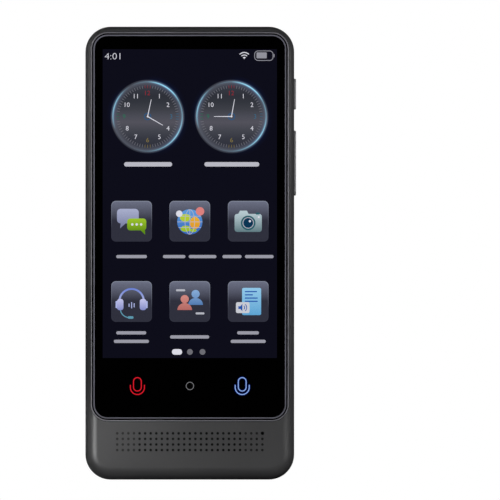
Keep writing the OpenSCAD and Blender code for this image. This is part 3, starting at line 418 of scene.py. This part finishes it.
FINISH = {
    housing_plastic: ["front_housing", "rear_cover"],
    ring_tone_and_highlight: ["bezel_ring"],
    cover_glass: ["glass_panel"],
    camera_glass: ["camera_window"],
    island_gloss: ["camera_bezel"],
    key_coat: ["power_button", "volume_rocker"],
    tape: ["glass_adhesive", "battery_adhesive"],
    panel_back: ["display_panel"],
    light_guide: ["display_backlight"],
    amber_film: ["display_flex", "touch_key_board", "antenna_flex", "side_key_flex",
                 "board_link_flex"],
    green_board: ["main_board", "usb_board", "battery_protection_board"],
    cast_metal: ["mid_frame"],
    screw_steel: ["frame_screws", "board_screws"],
    foil: ["battery_cell"],
    wire_sleeve: ["battery_leads"],
    chip_epoxy: ["processor_chip", "radio_chip"],
    can_metal: ["processor_shield", "radio_shield", "side_key_bracket"],
    black_plastic: ["camera_module", "usb_c_tongue", "speaker_frame", "microphone"],
    lens_glass: ["camera_lens"],
    foam: ["camera_gasket", "speaker_gasket", "mic_boot"],
    switch_resin: ["power_switch", "volume_switches"],
    gold_metal: ["power_dome", "volume_domes"],
    socket_steel: ["usb_c_shell"],
    cone_film: ["speaker_cone"],
    magnet_plate: ["speaker_magnet"],
    acoustic_mesh: ["speaker_mesh"],
}
for material, names in FINISH.items():
    for name in names:
        mesh = nodes[name].data
        mesh.materials.clear()
        mesh.materials.append(material)


def second_finish(name, material, chosen):
    """Gives a finish to the faces of a CAD node that chosen picks by their middle, in mm, and
    their normal."""
    mesh = nodes[name].data
    if mesh.materials.find(material.name) < 0:
        mesh.materials.append(material)
    index = mesh.materials.find(material.name)
    for face in mesh.polygons:
        if chosen(face.center / MM, face.normal):
            face.material_index = index


GLASS_LOW, GLASS_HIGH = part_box("glass_panel")
GLASS_W = (GLASS_HIGH.x - GLASS_LOW.x) / MM
GLASS_H = (GLASS_HIGH.z - GLASS_LOW.z) / MM
GLASS_Z = (GLASS_HIGH.z + GLASS_LOW.z) / 2 / MM
GLASS_R = 4.2               # radius of its corners
GAP_REACH = 0.6             # how far the painted shade on the seat round it reaches past its outline
CHIN_TOP = 16.5             # height of the chin's upper end


def faces_in(c, n):
    """Whether a face of the ring stands upright and looks at the middle of the pane."""
    return abs(n.y) < 0.3 and n.x * c.x + n.z * (c.z - GLASS_Z) < 0


def beyond_pane(c):
    """How far a point lies outside the pane's outline, as seen from the front."""
    return math.hypot(max(abs(c.x) - GLASS_W / 2 + GLASS_R, 0),
                      max(abs(c.z - GLASS_Z) - GLASS_H / 2 + GLASS_R, 0)) - GLASS_R


front_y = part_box("front_housing")[0].y / MM
seat_y = GLASS_LOW.y / MM + 0.1
rim_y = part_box("camera_bezel")[1].y / MM - 0.01
# The speaker field in mm: its half width and its heights, how deep in a hole a face starts to
# count as one, the end of the drilled columns, and where the microphone port starts
FIELD_X, FIELD_LOW, FIELD_TOP, FIELD_SKIN = 22.5, 7, 15, 0.05
HOLES_X, PORT_X, PORT_Z = 15.6, 20.6, 12.9


def in_field(c):
    return abs(c.x) < FIELD_X and FIELD_LOW < c.z < FIELD_TOP and c.y > front_y + FIELD_SKIN


def drilled(c):
    return in_field(c) and (abs(c.x) < HOLES_X or c.x > PORT_X and c.z > PORT_Z)


def in_seat(c):
    return beyond_pane(c) < GAP_REACH and c.y > seat_y and c.z > CHIN_TOP


# The pane is ground where its edge rounds off between the flat front and the sides, and that edge's
# light tone is partly a painted highlight; the ring is painted black as shade where it faces the
# pane, and the flat rim round the camera window is polished
second_finish("glass_panel", ground_edge_and_highlight, lambda c, n: -0.985 < n.y < -0.5)
second_finish("bezel_ring", painted_gap_shade, faces_in)
second_finish("camera_bezel", window_rim, lambda c, n: n.y > 0.99 and c.y > rim_y)
# The dimples of the speaker field are darkened with painted shade, and its holes and the seat of
# the pane are painted black as shade
second_finish("front_housing", dimple_shade, lambda c, n: in_field(c) and not drilled(c))
second_finish("front_housing", painted_gap_shade, lambda c, n: drilled(c) or in_seat(c))


# ---- Turned pieces: the camera's front element and the snap domes ----

def new_piece(name, bm, materials):
    """Piece on the case, made of bm."""
    mesh = bpy.data.meshes.new(name)
    bm.to_mesh(mesh)
    bm.free()
    for material in materials:
        mesh.materials.append(material)
    piece = bpy.data.objects.new(name, mesh)
    show(piece)
    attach(piece, "case")
    return piece


def turned(bm, profile, place, sides=64):
    """Closed form made by turning profile, (radius, height) pairs that start and end on the axis.
    place makes a point of a radius, an angle and a height."""
    rows = [[bm.verts.new(place(r, 2 * math.pi * i / sides, h)) for i in range(sides)]
            for r, h in profile[1:-1]]
    first, last = (bm.verts.new(place(0, 0, h)) for r, h in (profile[0], profile[-1]))
    for i in range(sides):
        j = (i + 1) % sides
        bm.faces.new((first, rows[0][i], rows[0][j]))
        bm.faces.new((last, rows[-1][j], rows[-1][i]))
        for a, b in zip(rows, rows[1:]):
            bm.faces.new((a[i], b[i], b[j], a[j]))


def turned_piece(name, bm, material, node):
    """Piece on the case that stands for a CAD node."""
    bmesh.ops.recalc_face_normals(bm, faces=bm.faces)
    piece = new_piece(name, bm, [material])
    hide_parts(node)
    return piece


LENS_SAG = 0.42 * MM        # how much lower the lens lies at its rim than in the middle


def build_lens():
    """Domed element in the place of the flat CAD lens."""
    low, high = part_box("camera_lens")
    centre_x, radius, steps = (high.x + low.x) / 2, (high.x - low.x) / 2, 14
    crown = [(radius * k / steps, high.y - LENS_SAG * (k / steps) ** 2) for k in range(steps + 1)]
    bm = bmesh.new()
    turned(bm, crown + [(radius, low.y), (0, low.y)], lambda r, t, h: (
        centre_x + r * math.cos(t), h, camera_axis_z + r * math.sin(t)))
    lens = turned_piece("lens_dome", bm, lens_glass, "camera_lens")
    for face in lens.data.polygons:
        face.use_smooth = face.normal.y > 0.5
    lens_pieces.objects.link(lens)


# Radius and height of a snap dome in mm: down its outside, then up its inside
DOME = [(0, 0.35), (0.25, 0.345), (0.5, 0.32), (0.7, 0.27), (0.84, 0.2), (0.94, 0.11), (1, 0),
        (0.88, 0), (0.84, 0.05), (0.75, 0.12), (0.62, 0.18), (0.45, 0.225), (0.25, 0.245),
        (0, 0.25)]


def build_domes(name, node):
    """Thin metal domes in the place of the CAD's cones."""
    low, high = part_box(node)
    middle_y = (low.y + high.y) / 2
    bm = bmesh.new()
    for z in sorted({round(low.z + MM, 6), round(high.z - MM, 6)}):
        turned(bm, [(r * MM, h * MM) for r, h in DOME], lambda r, t, h: (
            low.x + h, middle_y + r * math.cos(t), z + r * math.sin(t)), 40)
    domes = turned_piece(name, bm, gold_metal, node)
    domes.data.shade_smooth()
    front_pieces.objects.link(domes)
    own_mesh(domes)


build_lens()
build_domes("power_snap_dome", "power_dome")
build_domes("volume_snap_domes", "volume_domes")


# ---- Lit surfaces of the screen ----

LIFT = 1 / 0.96     # the pane takes 4 percent


def lit(name, top, bottom=None, z_top=0.0, z_bottom=0.0, speckle=0.03):
    """Lit surface, plain or with a colour that runs from top to bottom between two heights in
    mm."""
    material, g = new_material(name)
    colour = top
    if bottom is not None:
        height = g.split(g.object_place())["Z"]
        colour = g.mix(g.spread(height, z_top * MM, z_bottom * MM), top, bottom)
    tone = g.even(g.vary(g.noise(4000, 1), 1 - speckle, 1 + speckle))
    colour = g.mix(1.0, colour, tone, "MULTIPLY")
    shader = g.add("ShaderNodeEmission", {"Color": colour, "Strength": LIFT})
    return finish_material(material, g, shader)


GLOW = 1.14                 # how far the glow of a clock's rim reaches, in radii of its dial
SCREEN_TOP = linear(14, 14, 26)


def clock_light(name, cx, cz, radius):
    """Dial of a clock: a grey face with a light band and a rim that glows in three stretches."""
    material, g = new_material(name)
    offset = g.split(g.vector_math("SUBTRACT", g.object_place(), (cx * MM, 0, cz * MM)))
    x, z = offset["X"], offset["Z"]
    r = g.math("SQRT", g.math("ADD", g.math("MULTIPLY", x, x), g.math("MULTIPLY", z, z)))
    r = g.math("DIVIDE", r, radius * GLOW * MM)
    turn = g.math("DIVIDE", g.math("ARCTAN2", x, z), 2 * math.pi)
    turn = g.math("FRACT", g.math("ADD", turn, 1.0))
    # The face from its lowest point up
    face = g.ramp(g.spread(z, -radius * MM, radius * MM), [
        (0.0, linear(58, 62, 72)), (0.1, linear(50, 52, 62)), (0.2, linear(56, 58, 67)),
        (0.3, linear(68, 70, 78)), (0.42, linear(85, 84, 93)), (0.5, linear(77, 78, 87)),
        (0.6, linear(63, 65, 72)), (0.7, linear(52, 55, 62)), (0.78, linear(48, 50, 58)),
        (0.9, linear(56, 59, 68)), (1.0, linear(68, 70, 80))])
    # The rim clockwise from twelve
    glow = g.ramp(turn, [
        (0.0, grey(0.16)), (0.04, grey(0.7)), (0.083, grey(1.0)), (0.13, grey(0.85)),
        (0.18, grey(0.28)), (0.25, grey(0.3)), (0.3, grey(0.55)), (0.345, grey(0.8)),
        (0.39, grey(0.6)), (0.43, grey(0.34)), (0.5, grey(0.1)), (0.57, grey(0.01)),
        (0.69, grey(0.01)), (0.74, grey(0.4)), (0.79, grey(0.62)), (0.84, grey(0.5)),
        (0.885, grey(0.1)), (0.92, grey(0.0)), (1.0, grey(0.16))])
    # From the middle out, in parts of the dial's radius
    k = 1 / GLOW
    band = g.ramp(r, [
        (0.8 * k, grey(0.0)), (0.9 * k, grey(0.1)), (0.93 * k, grey(0.5)),
        (0.945 * k, grey(1.0)), (0.957 * k, grey(1.0)), (0.97 * k, grey(0.42)),
        (0.99 * k, grey(0.16)), (1.04 * k, grey(0.03)), (0.999, grey(0.0))])
    grey_rim = g.ramp(r, [
        (0.8 * k, grey(0.0)), (0.86 * k, grey(0.4)), (0.92 * k, grey(1.0)),
        (0.96 * k, grey(1.0)), (0.975 * k, grey(0.2)), (1.0 * k, grey(0.1)),
        (1.01 * k, grey(0.0))])
    inside = g.ramp(r, [(0.985 * k, grey(1.0)), (1.012 * k, grey(0.0))])
    base = g.mix(inside, SCREEN_TOP, face)
    base = g.mix(g.math("MULTIPLY", grey_rim, 0.62), base, linear(92, 95, 106))
    light = g.mix(band, linear(10, 60, 150), linear(150, 230, 255))
    light = g.mix(1.0, light, g.mix(g.math("MULTIPLY", band, glow), grey(0.0), grey(1.0)),
                  "MULTIPLY")
    colour = g.mix(1.0, base, light, "ADD")
    shader = g.add("ShaderNodeEmission", {"Color": colour, "Strength": LIFT})
    return finish_material(material, g, shader)


# ---- Thin printed and lit shapes behind the glass ----

GLASS_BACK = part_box("glass_panel")[1].y
LCD_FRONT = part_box("display_panel")[0].y
FILM = 0.008 * MM           # thickness of a printed or lit film
AIR = 0.02 * MM             # between a film and the piece behind or in front of it
STEP = 0.018 * MM           # from one layer to the next


def level(n):
    """Depth of the nth layer over the display."""
    return LCD_FRONT - AIR - n * STEP


class Art:
    """Collects thin closed shapes, with sizes in mm as seen from the front."""

    def __init__(self, name):
        self.name = name
        self.bm = bmesh.new()
        self.materials = []

    def slot_of(self, material):
        if material not in self.materials:
            self.materials.append(material)
        return self.materials.index(material)

    def prism(self, outline, material, front):
        """Closed film with the given outline, whose front lies at the depth front."""
        index = self.slot_of(material)
        area = sum(a[0] * b[1] - b[0] * a[1] for a, b in zip(outline, outline[1:] + outline[:1]))
        if area < 0:
            outline = outline[::-1]
        rows = [[self.bm.verts.new((x * MM, y, z * MM)) for x, z in outline]
                for y in (front, front + FILM)]
        made = [self.bm.faces.new(rows[0]), self.bm.faces.new(rows[1][::-1])]
        n = len(outline)
        for i in range(n):
            j = (i + 1) % n
            made.append(self.bm.faces.new((rows[0][j], rows[0][i], rows[1][i], rows[1][j])))
        for face in made:
            face.material_index = index

    def band(self, inner, outer, material, front, closed=True):
        """Closed film between two outlines with as many points each."""
        index = self.slot_of(material)
        rows = [[self.bm.verts.new((x * MM, y, z * MM)) for x, z in line]
                for y in (front, front + FILM) for line in (inner, outer)]
        a, b, c, d = rows
        n = len(inner)
        last = n if closed else n - 1
        for i in range(last):
            j = (i + 1) % n
            for quad in ((a[i], b[i], b[j], a[j]), (c[j], d[j], d[i], c[i]),
                         (b[i], d[i], d[j], b[j]), (a[j], c[j], c[i], a[i])):
                self.bm.faces.new(quad).material_index = index
        if not closed:
            self.bm.faces.new((a[0], c[0], d[0], b[0])).material_index = index
            self.bm.faces.new((b[-1], d[-1], c[-1], a[-1])).material_index = index

    def disc(self, x, z, r, material, front, n=48, squash=1.0):
        self.prism(arc(x, z, r, 0, 360, n, squash)[:-1], material, front)

    def ring(self, x, z, r0, r1, material, front, start=0.0, end=360.0, n=64):
        """Ring between two radii, or the part of it between two angles."""
        whole = abs(end - start) >= 360
        inner, outer = arc(x, z, r0, start, end, n), arc(x, z, r1, start, end, n)
        if whole:
            inner, outer = inner[:-1], outer[:-1]
        self.band(inner, outer, material, front, whole)

    def slab(self, x, z, w, h, r, material, front):
        self.prism(rounded(x, z, w, h, r), material, front)

    def frame(self, x, z, w, h, r, line, material, front):
        """Outline of a rounded slab, drawn with a line as wide as line."""
        self.band(rounded(x, z, w - line, h - line, max(r - line / 2, 0.02)),
                  rounded(x, z, w + line, h + line, r + line / 2), material, front)

    def stroke(self, points, line, material, front):
        """Line with round ends along points."""
        left, right = [], []
        for i, p in enumerate(points):
            a, b = Vector(points[max(i - 1, 0)]), Vector(points[min(i + 1, len(points) - 1)])
            way = (b - a).normalized()
            side = Vector((-way.y, way.x)) * line / 2
            left.append(tuple(Vector(p) + side))
            right.append(tuple(Vector(p) - side))
        first = math.degrees(math.atan2(right[0][1] - points[0][1], right[0][0] - points[0][0]))
        last = math.degrees(math.atan2(left[-1][1] - points[-1][1], left[-1][0] - points[-1][0]))
        outline = left[1:-1] + arc(*points[-1], line / 2, last, last - 180, 8)
        outline += right[::-1][1:-1] + arc(*points[0], line / 2, first, first - 180, 8)
        self.prism(outline, material, front)

    def number(self, text, x, z, height, material, front, align=0.0, thin=0.008, wide=1.0):
        """Plain numerals, height mm tall, centred at (x, z), or with align 0.5 from x on."""
        curve = bpy.data.curves.new("numerals", "FONT")
        curve.body = text
        curve.offset = -thin
        curve.resolution_u = 3
        holder = bpy.data.objects.new("numerals", curve)
        mesh = bpy.data.meshes.new_from_object(holder)
        xs = [v.co.x for v in mesh.vertices]
        ys = [v.co.y for v in mesh.vertices]
        scale = height / (max(ys) - min(ys))
        middle = Vector(((max(xs) + min(xs)) / 2, (max(ys) + min(ys)) / 2, 0))
        middle.x -= (max(xs) - min(xs)) * align
        index = self.slot_of(material)
        rows = {}
        part = bmesh.new()
        part.from_mesh(mesh)
        bmesh.ops.remove_doubles(part, verts=part.verts, dist=1e-5)
        for vert in part.verts:
            p = (vert.co - middle) * scale
            rows[vert.index] = [self.bm.verts.new(((x + p.x * wide) * MM, y, (z + p.y) * MM))
                                for y in (front, front + FILM)]
        for face in part.faces:
            ids = [v.index for v in face.verts]
            if face.normal.z < 0:
                ids = ids[::-1]
            self.bm.faces.new([rows[i][0] for i in ids]).material_index = index
            self.bm.faces.new([rows[i][1] for i in ids[::-1]]).material_index = index
        for edge in part.edges:
            if len(edge.link_faces) == 1:
                face = edge.link_faces[0]
                loop = next(l for l in face.loops if l.edge == edge)
                i, j = loop.vert.index, loop.link_loop_next.vert.index
                if face.normal.z < 0:
                    i, j = j, i
                self.bm.faces.new((rows[j][0], rows[i][0], rows[i][1], rows[j][1])
                                  ).material_index = index
        part.free()
        bpy.data.objects.remove(holder)
        bpy.data.curves.remove(curve)
        bpy.data.meshes.remove(mesh)

    def done(self):
        self.bm.normal_update()
        new_piece(self.name, self.bm, self.materials)


def arc(x, z, r, start, end, n, squash=1.0):
    """Points on an arc. Angles run anticlockwise from the right."""
    out = []
    for i in range(n + 1):
        a = math.radians(start + (end - start) * i / n)
        out.append((x + r * math.cos(a), z + r * squash * math.sin(a)))
    return out


def rounded(x, z, w, h, r):
    """Outline of a slab w by h round (x, z), with corners of radius r."""
    out = []
    for sx, sz, start in ((1, 1, 0), (-1, 1, 90), (-1, -1, 180), (1, -1, 270)):
        out += arc(x + sx * (w / 2 - r), z + sz * (h / 2 - r), r, start, start + 90, 6)
    return out


def clockwise(x, z, r, degrees):
    """Point at r from (x, z), with the angle clockwise from twelve."""
    a = math.radians(degrees)
    return (x + r * math.sin(a), z + r * math.cos(a))


SCREEN_W, SCREEN_H, SCREEN_Z = 51.2, 90.7, 81.05    # lit screen: its size and middle height in mm
SCREEN_UNDER = 0.3          # how far the picture runs on under the border print
BORDER_EDGE = 0.5           # from the edge of the pane to the border print
BORDER_R = 3.8

# Black border print behind the glass, open over the lit screen
border_ink = moulded("border_ink", linear(0, 0, 0.5), rough=0.6, bump=0.0,
                     **{"Specular IOR Level": 0.0})
border = Art("border_print")
border.band(rounded(0, SCREEN_Z, SCREEN_W, SCREEN_H, 0.05),
            rounded(0, GLASS_Z, GLASS_W - 2 * BORDER_EDGE, GLASS_H - 2 * BORDER_EDGE, BORDER_R),
            border_ink, GLASS_BACK + AIR)
border.done()

screen_light = lit("screen_light", SCREEN_TOP, speckle=0.05)
screen = Art("screen_image")
screen.slab(0, SCREEN_Z, SCREEN_W + 2 * SCREEN_UNDER, SCREEN_H + 2 * SCREEN_UNDER, 0.05,
            screen_light, level(0))
screen.done()

white = lit("white_light", linear(226, 226, 234))
soft_white = lit("soft_white_light", linear(188, 188, 198))
dial_red = lit("dial_red_light", linear(150, 38, 50))
dial_green = lit("dial_green_light", linear(34, 112, 84))
dial_yellow = lit("dial_yellow_light", linear(134, 118, 66))
dial_blue = lit("dial_blue_light", linear(58, 106, 134))
hub_blue = lit("hub_blue_light", linear(44, 88, 130))
tick_grey = lit("tick_grey_light", linear(118, 118, 126))

# Status bar: time, signal and battery
status = Art("status_bar")
status.number("4:01", -24.98, 124.35, 1.84, white, level(1), align=0.5, thin=0.016, wide=1.12)
WAVE_X, WAVE_Z = 16.0, 123.55       # the point that the waves spread from
status.prism([(WAVE_X, WAVE_Z)] + arc(WAVE_X, WAVE_Z, 0.62, 45, 135, 8), white, level(1))
for r0, r1 in ((1.03, 1.28), (1.76, 2.03)):
    status.ring(WAVE_X, WAVE_Z, r0, r1, white, level(1), 45, 135, 16)
BATTERY_X, BATTERY_Z = 21.75, 124.5
battery_light = lit("battery_light", linear(150, 150, 158))
status.frame(BATTERY_X, BATTERY_Z, 5.4, 2.8, 1.0, 0.2, battery_light, level(1))
status.slab(BATTERY_X - 0.65, BATTERY_Z + 0.1, 3.0, 1.74, 0.2, battery_light, level(1))
status.slab(BATTERY_X + 3.0, BATTERY_Z, 0.25, 0.9, 0.12, battery_light, level(1))
status.done()

# Clocks. Lengths in mm, angles in degrees clockwise from twelve.
CLOCK_Z, CLOCK_R = 106.64, 10.72
TICK_FROM, TICK_TO, TICK_HALF = CLOCK_R * 0.775, CLOCK_R * 0.855, 0.42
TICK_PITCH, HOUR_PITCH = 5, 30
NUMERAL_R, NUMERAL_HEIGHT = CLOCK_R * 0.645, 1.32
HAND_LENGTH, HAND_HALF, HAND_TIP_HALF, HAND_TAIL = 5.15, 0.13, 0.08, 0.2
NUMERAL_INK = {12: dial_red, 3: dial_blue, 6: dial_yellow, 9: dial_green}
INK_REACH = 8               # the ticks this near to a coloured numeral have its colour


def clock(name, cx, hour_angle, minute_angle):
    def at(r, angle):
        return clockwise(cx, CLOCK_Z, r, angle)

    art = Art(name)
    dial = clock_light(name + "_dial", cx, CLOCK_Z, CLOCK_R)
    art.disc(cx, CLOCK_Z, CLOCK_R * GLOW, dial, level(1), 96)
    for a in range(0, 360, TICK_PITCH):
        away, near = min((abs((a - hour * HOUR_PITCH + 180) % 360 - 180), hour)
                         for hour in NUMERAL_INK)
        ink = NUMERAL_INK[near] if away <= INK_REACH else tick_grey
        art.prism([at(TICK_FROM, a - TICK_HALF), at(TICK_TO, a - TICK_HALF),
                   at(TICK_TO, a + TICK_HALF), at(TICK_FROM, a + TICK_HALF)], ink, level(2))
    for hour in range(1, 13):
        x, z = at(NUMERAL_R, hour * HOUR_PITCH)
        art.number(str(hour), x, z, NUMERAL_HEIGHT, NUMERAL_INK.get(hour, white), level(2),
                   thin=0.004)
    art.ring(cx, CLOCK_Z, 0.82, 1.08, hub_blue, level(2), n=40)
    for depth, angle in ((3, hour_angle), (4, minute_angle)):
        out = [at(HAND_HALF, angle - 90), at(HAND_TAIL, angle + 180), at(HAND_HALF, angle + 90)]
        tip = at(HAND_LENGTH, angle)
        out += [clockwise(*tip, HAND_TIP_HALF, angle + side) for side in (90, -90)]
        art.prism(out, white, level(depth))
    art.disc(cx, CLOCK_Z, 0.26, white, level(5), 24)
    art.done()


clock("clock_left", -12.39, 120, 12)
clock("clock_right", 12.25, 270, 10)

# Words are left out: plain bars keep their place and weight
labels = Art("label_bars")
label_white = lit("label_white_light", linear(190, 190, 198))
label_grey = lit("label_grey_light", linear(158, 158, 168))
# Middle height and thickness of the bars, colour, and where each starts and ends, in mm
for z, height, ink, spans in (
        (92.6, 1.3, label_white, ((-19.3, -5.2), (4.3, 20.4))),
        (65.5, 0.95, label_grey, ((-21.6, -12.6), (-7.9, -1.3), (-0.3, 7.8), (9.6, 15.2),
                                  (16.2, 24.6))),
        (43.1, 0.95, label_grey, ((-21.6, -12.8), (13.9, 20.3))),
        (41.9, 0.95, label_grey, ((-5.8, 5.7),)),
        (40.6, 0.95, label_grey, ((-22.3, -12.0), (12.0, 22.3)))):
    for x0, x1 in spans:
        labels.slab((x0 + x1) / 2, z, x1 - x0, height, height / 2 - 0.01, ink, level(1))
labels.done()

PAGE_Z = 37.5
pages = Art("page_marks")
pages.slab(-3.75, PAGE_Z, 3.0, 1.65, 0.81, white, level(1))
page_grey = lit("page_grey_light", linear(112, 112, 118))
for x in (0.03, 3.73):
    pages.disc(x, PAGE_Z, 0.85, page_grey, level(1), 32)
pages.done()

# Tiles with plain pictograms, drawn in mm round the middle (x, z) of each tile
TILE, TILE_R = 11.92, 1.35  # side and corner radius
TILE_RIM = 0.15             # width of the light edge
TILE_X = (-17.09, 0.0, 17.15)
TILE_Z = (75.89, 52.31)


def tile(art, x, z, name):
    face = lit(name, linear(108, 112, 130), linear(49, 50, 62), z + 5.6, z + 0.2, speckle=0.06)
    edge = lit(name + "_edge", linear(138, 144, 160), linear(56, 58, 70), z + TILE / 2, z - 2.0)
    art.slab(x, z, TILE, TILE, TILE_R, edge, level(1))
    inner = TILE - 2 * TILE_RIM
    art.slab(x, z - 0.05, inner, inner, 1.22, face, level(2))


def tile_speech(art, x, z):
    back = lit("speech_back_light", linear(172, 178, 206), linear(120, 126, 160), z + 3.4, z - 2)
    front = lit("speech_front_light", linear(158, 198, 46), linear(96, 142, 22), z + 0.6, z - 3)
    art.slab(x - 1.1, z + 1.5, 6.4, 4.3, 1.1, back, level(3))
    art.prism([(x - 3.2, z - 0.5), (x - 1.6, z - 0.5), (x - 3.4, z - 2.1)], back, level(3))
    art.slab(x + 1.5, z - 0.95, 5.6, 3.5, 0.9, front, level(4))
    art.prism([(x + 2.6, z - 2.6), (x + 3.9, z - 2.6), (x + 4.0, z - 4.0)], front, level(4))
    for dx in (-1.3, 0.0, 1.3):
        art.disc(x + 1.5 + dx, z - 0.95, 0.36, white, level(5), 20)


def tile_globe(art, x, z):
    sea = lit("globe_sea_light", linear(96, 158, 222), linear(60, 110, 190), z + 3, z - 3)
    land = lit("globe_land_light", linear(196, 214, 60), linear(150, 190, 40), z + 3, z - 4)
    sand = lit("globe_sand_light", linear(236, 178, 52), linear(226, 148, 40), z + 1, z - 3)
    rose = lit("globe_rose_light", linear(224, 132, 128))
    r, line, mid = 3.7, 0.16, z - 0.2
    art.disc(x, mid, r, sea, level(3), 64)
    for dx, dz, size, flat, ink in ((-1.3, 1.2, 1.6, 0.7, land), (1.5, -0.3, 1.5, 1.2, sand),
                                    (-1.2, -2.0, 1.5, 0.6, land), (1.0, -2.5, 1.0, 0.5, land)):
        art.disc(x + dx, mid + dz, size, ink, level(4), 32, flat)
    for width in (0.38, -0.38, 0.0):
        points = [(x + r * width * math.cos(t), mid + r * 0.98 * math.sin(t))
                  for t in map(math.radians, range(-90, 91, 12))]
        art.stroke(points, line, soft_white, level(5))
    for h in (-0.45, 0.0, 0.45):
        half, height = r * math.sqrt(1 - h * h) * 0.97, mid + h * r
        art.stroke([(x - half, height), (x, height), (x + half, height)], line, soft_white,
                   level(6))
    art.disc(x + 3.0, z + 2.9, 1.25, rose, level(7), 32)
    art.disc(x - 3.1, z + 2.2, 0.95, white, level(7), 32)


def tile_camera(art, x, z):
    shell = lit("camera_shell_light", linear(186, 206, 210), linear(96, 124, 130), z + 2.5, z - 3.2)
    dark = lit("camera_dark_light", linear(46, 96, 106))
    deep = lit("camera_deep_light", linear(12, 54, 84))
    art.slab(x, z - 0.5, 8.0, 5.3, 0.8, shell, level(3))
    art.prism([(x - 3.0, z + 2.0), (x + 0.2, z + 2.0), (x - 0.4, z + 3.1), (x - 2.4, z + 3.1)],
              shell, level(3))
    art.slab(x + 2.8, z + 2.25, 1.2, 0.6, 0.2, dark, level(3))
    art.disc(x, z - 0.5, 2.15, dark, level(4), 48)
    art.disc(x, z - 0.5, 1.65, soft_white, level(5), 48)
    art.disc(x, z - 0.5, 1.45, deep, level(6), 48)
    art.disc(x + 0.5, z + 0.0, 0.33, white, level(7), 20)
    art.disc(x + 3.1, z + 1.2, 0.3, white, level(4), 20)


def tile_headset(art, x, z):
    band = lit("headset_band_light", linear(106, 130, 214), linear(176, 186, 232), z + 4, z)
    cup = lit("headset_cup_light", linear(196, 198, 236), linear(122, 132, 196), z + 0.5, z - 3)
    boom = lit("headset_boom_light", linear(96, 156, 176))
    art.ring(x, z + 0.1, 3.3, 3.85, band, level(3), 0, 180, 40)
    for side in (-1, 1):
        art.slab(x + side * 3.35, z - 0.9, 1.9, 3.3, 0.75, cup, level(4))
        art.slab(x + side * 4.45, z - 0.9, 0.5, 2.1, 0.22, band, level(3))
    art.stroke(arc(x - 0.6, z - 2.0, 2.75, 180, 262, 14), 0.3, boom, level(3))
    art.slab(x - 0.3, z - 4.7, 1.7, 0.75, 0.35, boom, level(4))
    for k, h in enumerate((0.7, 1.6, 1.0)):
        dx = (k - 1) * 0.75
        art.stroke([(x + dx, z - 1.1 - h / 2), (x + dx, z - 1.1), (x + dx, z - 1.1 + h / 2)],
                   0.28, band, level(4))


def tile_people(art, x, z):
    blue = lit("people_blue_light", linear(140, 178, 220), linear(84, 126, 180), z + 3.5, z - 1)
    rose = lit("people_red_light", linear(214, 140, 130), linear(170, 92, 88), z + 1.5, z - 4)
    bar = lit("people_bar_light", linear(186, 188, 196))
    for cx, cz, ink, n in ((x + 1.7, z + 0.5, blue, 3), (x - 1.5, z - 1.0, rose, 5)):
        art.disc(cx, cz + 1.7, 1.2, ink, level(n), 36)
        art.prism(arc(cx, cz - 1.5, 2.15, 0, 180, 24, 0.95), ink, level(n))
    art.slab(x - 2.7, z + 3.3, 2.7, 0.6, 0.28, bar, level(3))
    art.slab(x + 3.0, z - 3.5, 2.6, 0.6, 0.28, bar, level(3))


def tile_document(art, x, z):
    page = lit("page_light", linear(150, 206, 236), linear(96, 168, 214), z + 4, z - 4)
    line = lit("page_line_light", linear(34, 84, 170))
    card = lit("card_light", linear(206, 208, 214))
    art.slab(x + 1.0, z, 5.6, 8.0, 0.5, page, level(3))
    for k, w in enumerate((3.6, 2.4, 3.8, 3.8)):
        art.slab(x - 1.0 + w / 2, z + 2.9 - k * 0.95, w, 0.34, 0.16, line, level(4))
    art.slab(x - 1.6, z - 1.8, 4.0, 3.2, 0.5, card, level(5))
    art.prism([(x - 2.9, z - 2.2), (x - 2.3, z - 2.2), (x - 1.7, z - 2.9), (x - 1.7, z - 0.7),
               (x - 2.3, z - 1.4), (x - 2.9, z - 1.4)], line, level(6))
    for r in (0.7, 1.3):
        art.ring(x - 1.75, z - 1.8, r - 0.12, r + 0.12, line, level(6), -48, 48, 12)


TILES = (tile_speech, tile_globe, tile_camera, tile_headset, tile_people, tile_document)
for i, draw in enumerate(TILES):
    name = draw.__name__
    art = Art(name)
    x, z = TILE_X[i % 3], TILE_Z[i // 3]
    tile(art, x, z, name + "_face")
    draw(art, x, z)
    art.done()

# Lit signs of the touch keys, printed in front of the border
SIGN_FRONT = GLASS_BACK + 0.005 * MM
SIGN_STEP = 0.0015 * MM     # from one line of a sign to the narrower one in front of it
MIC_Z, MIC_W, MIC_H, MIC_R = 27.98, 2.3, 3.95, 1.14
CRADLE_R, CRADLE_Z, CRADLE_TOP = 2.06, 27.05, 27.7  # the arc under a microphone and its ends


def microphone_sign(name, cx, lines):
    """Microphone whose outline is drawn with lines of (width, colour), the widest first."""
    art = Art(name)
    for n, (line, colour) in enumerate(lines):
        glow = lit(f"{name}_light_{n}", colour)
        front = SIGN_FRONT + (len(lines) - 1 - n) * SIGN_STEP
        art.frame(cx, MIC_Z, MIC_W, MIC_H, MIC_R, line, glow, front)
        cradle = arc(cx, CRADLE_Z, CRADLE_R, 180, 360, 28)
        art.stroke([(cx - CRADLE_R, CRADLE_TOP)] + cradle + [(cx + CRADLE_R, CRADLE_TOP)], line,
                   glow, front)
    art.done()


microphone_sign("sign_left", -15.39, [(0.62, linear(40, 2, 6)), (0.25, linear(232, 30, 46))])
microphone_sign("sign_right", 15.39, [(0.8, linear(2, 8, 44)), (0.48, linear(16, 44, 130)),
                                      (0.22, linear(156, 192, 246))])
home = Art("sign_home")
home.ring(0.03, 27.5, 1.0, 1.19, lit("home_light", linear(122, 122, 124)), SIGN_FRONT)
home.done()
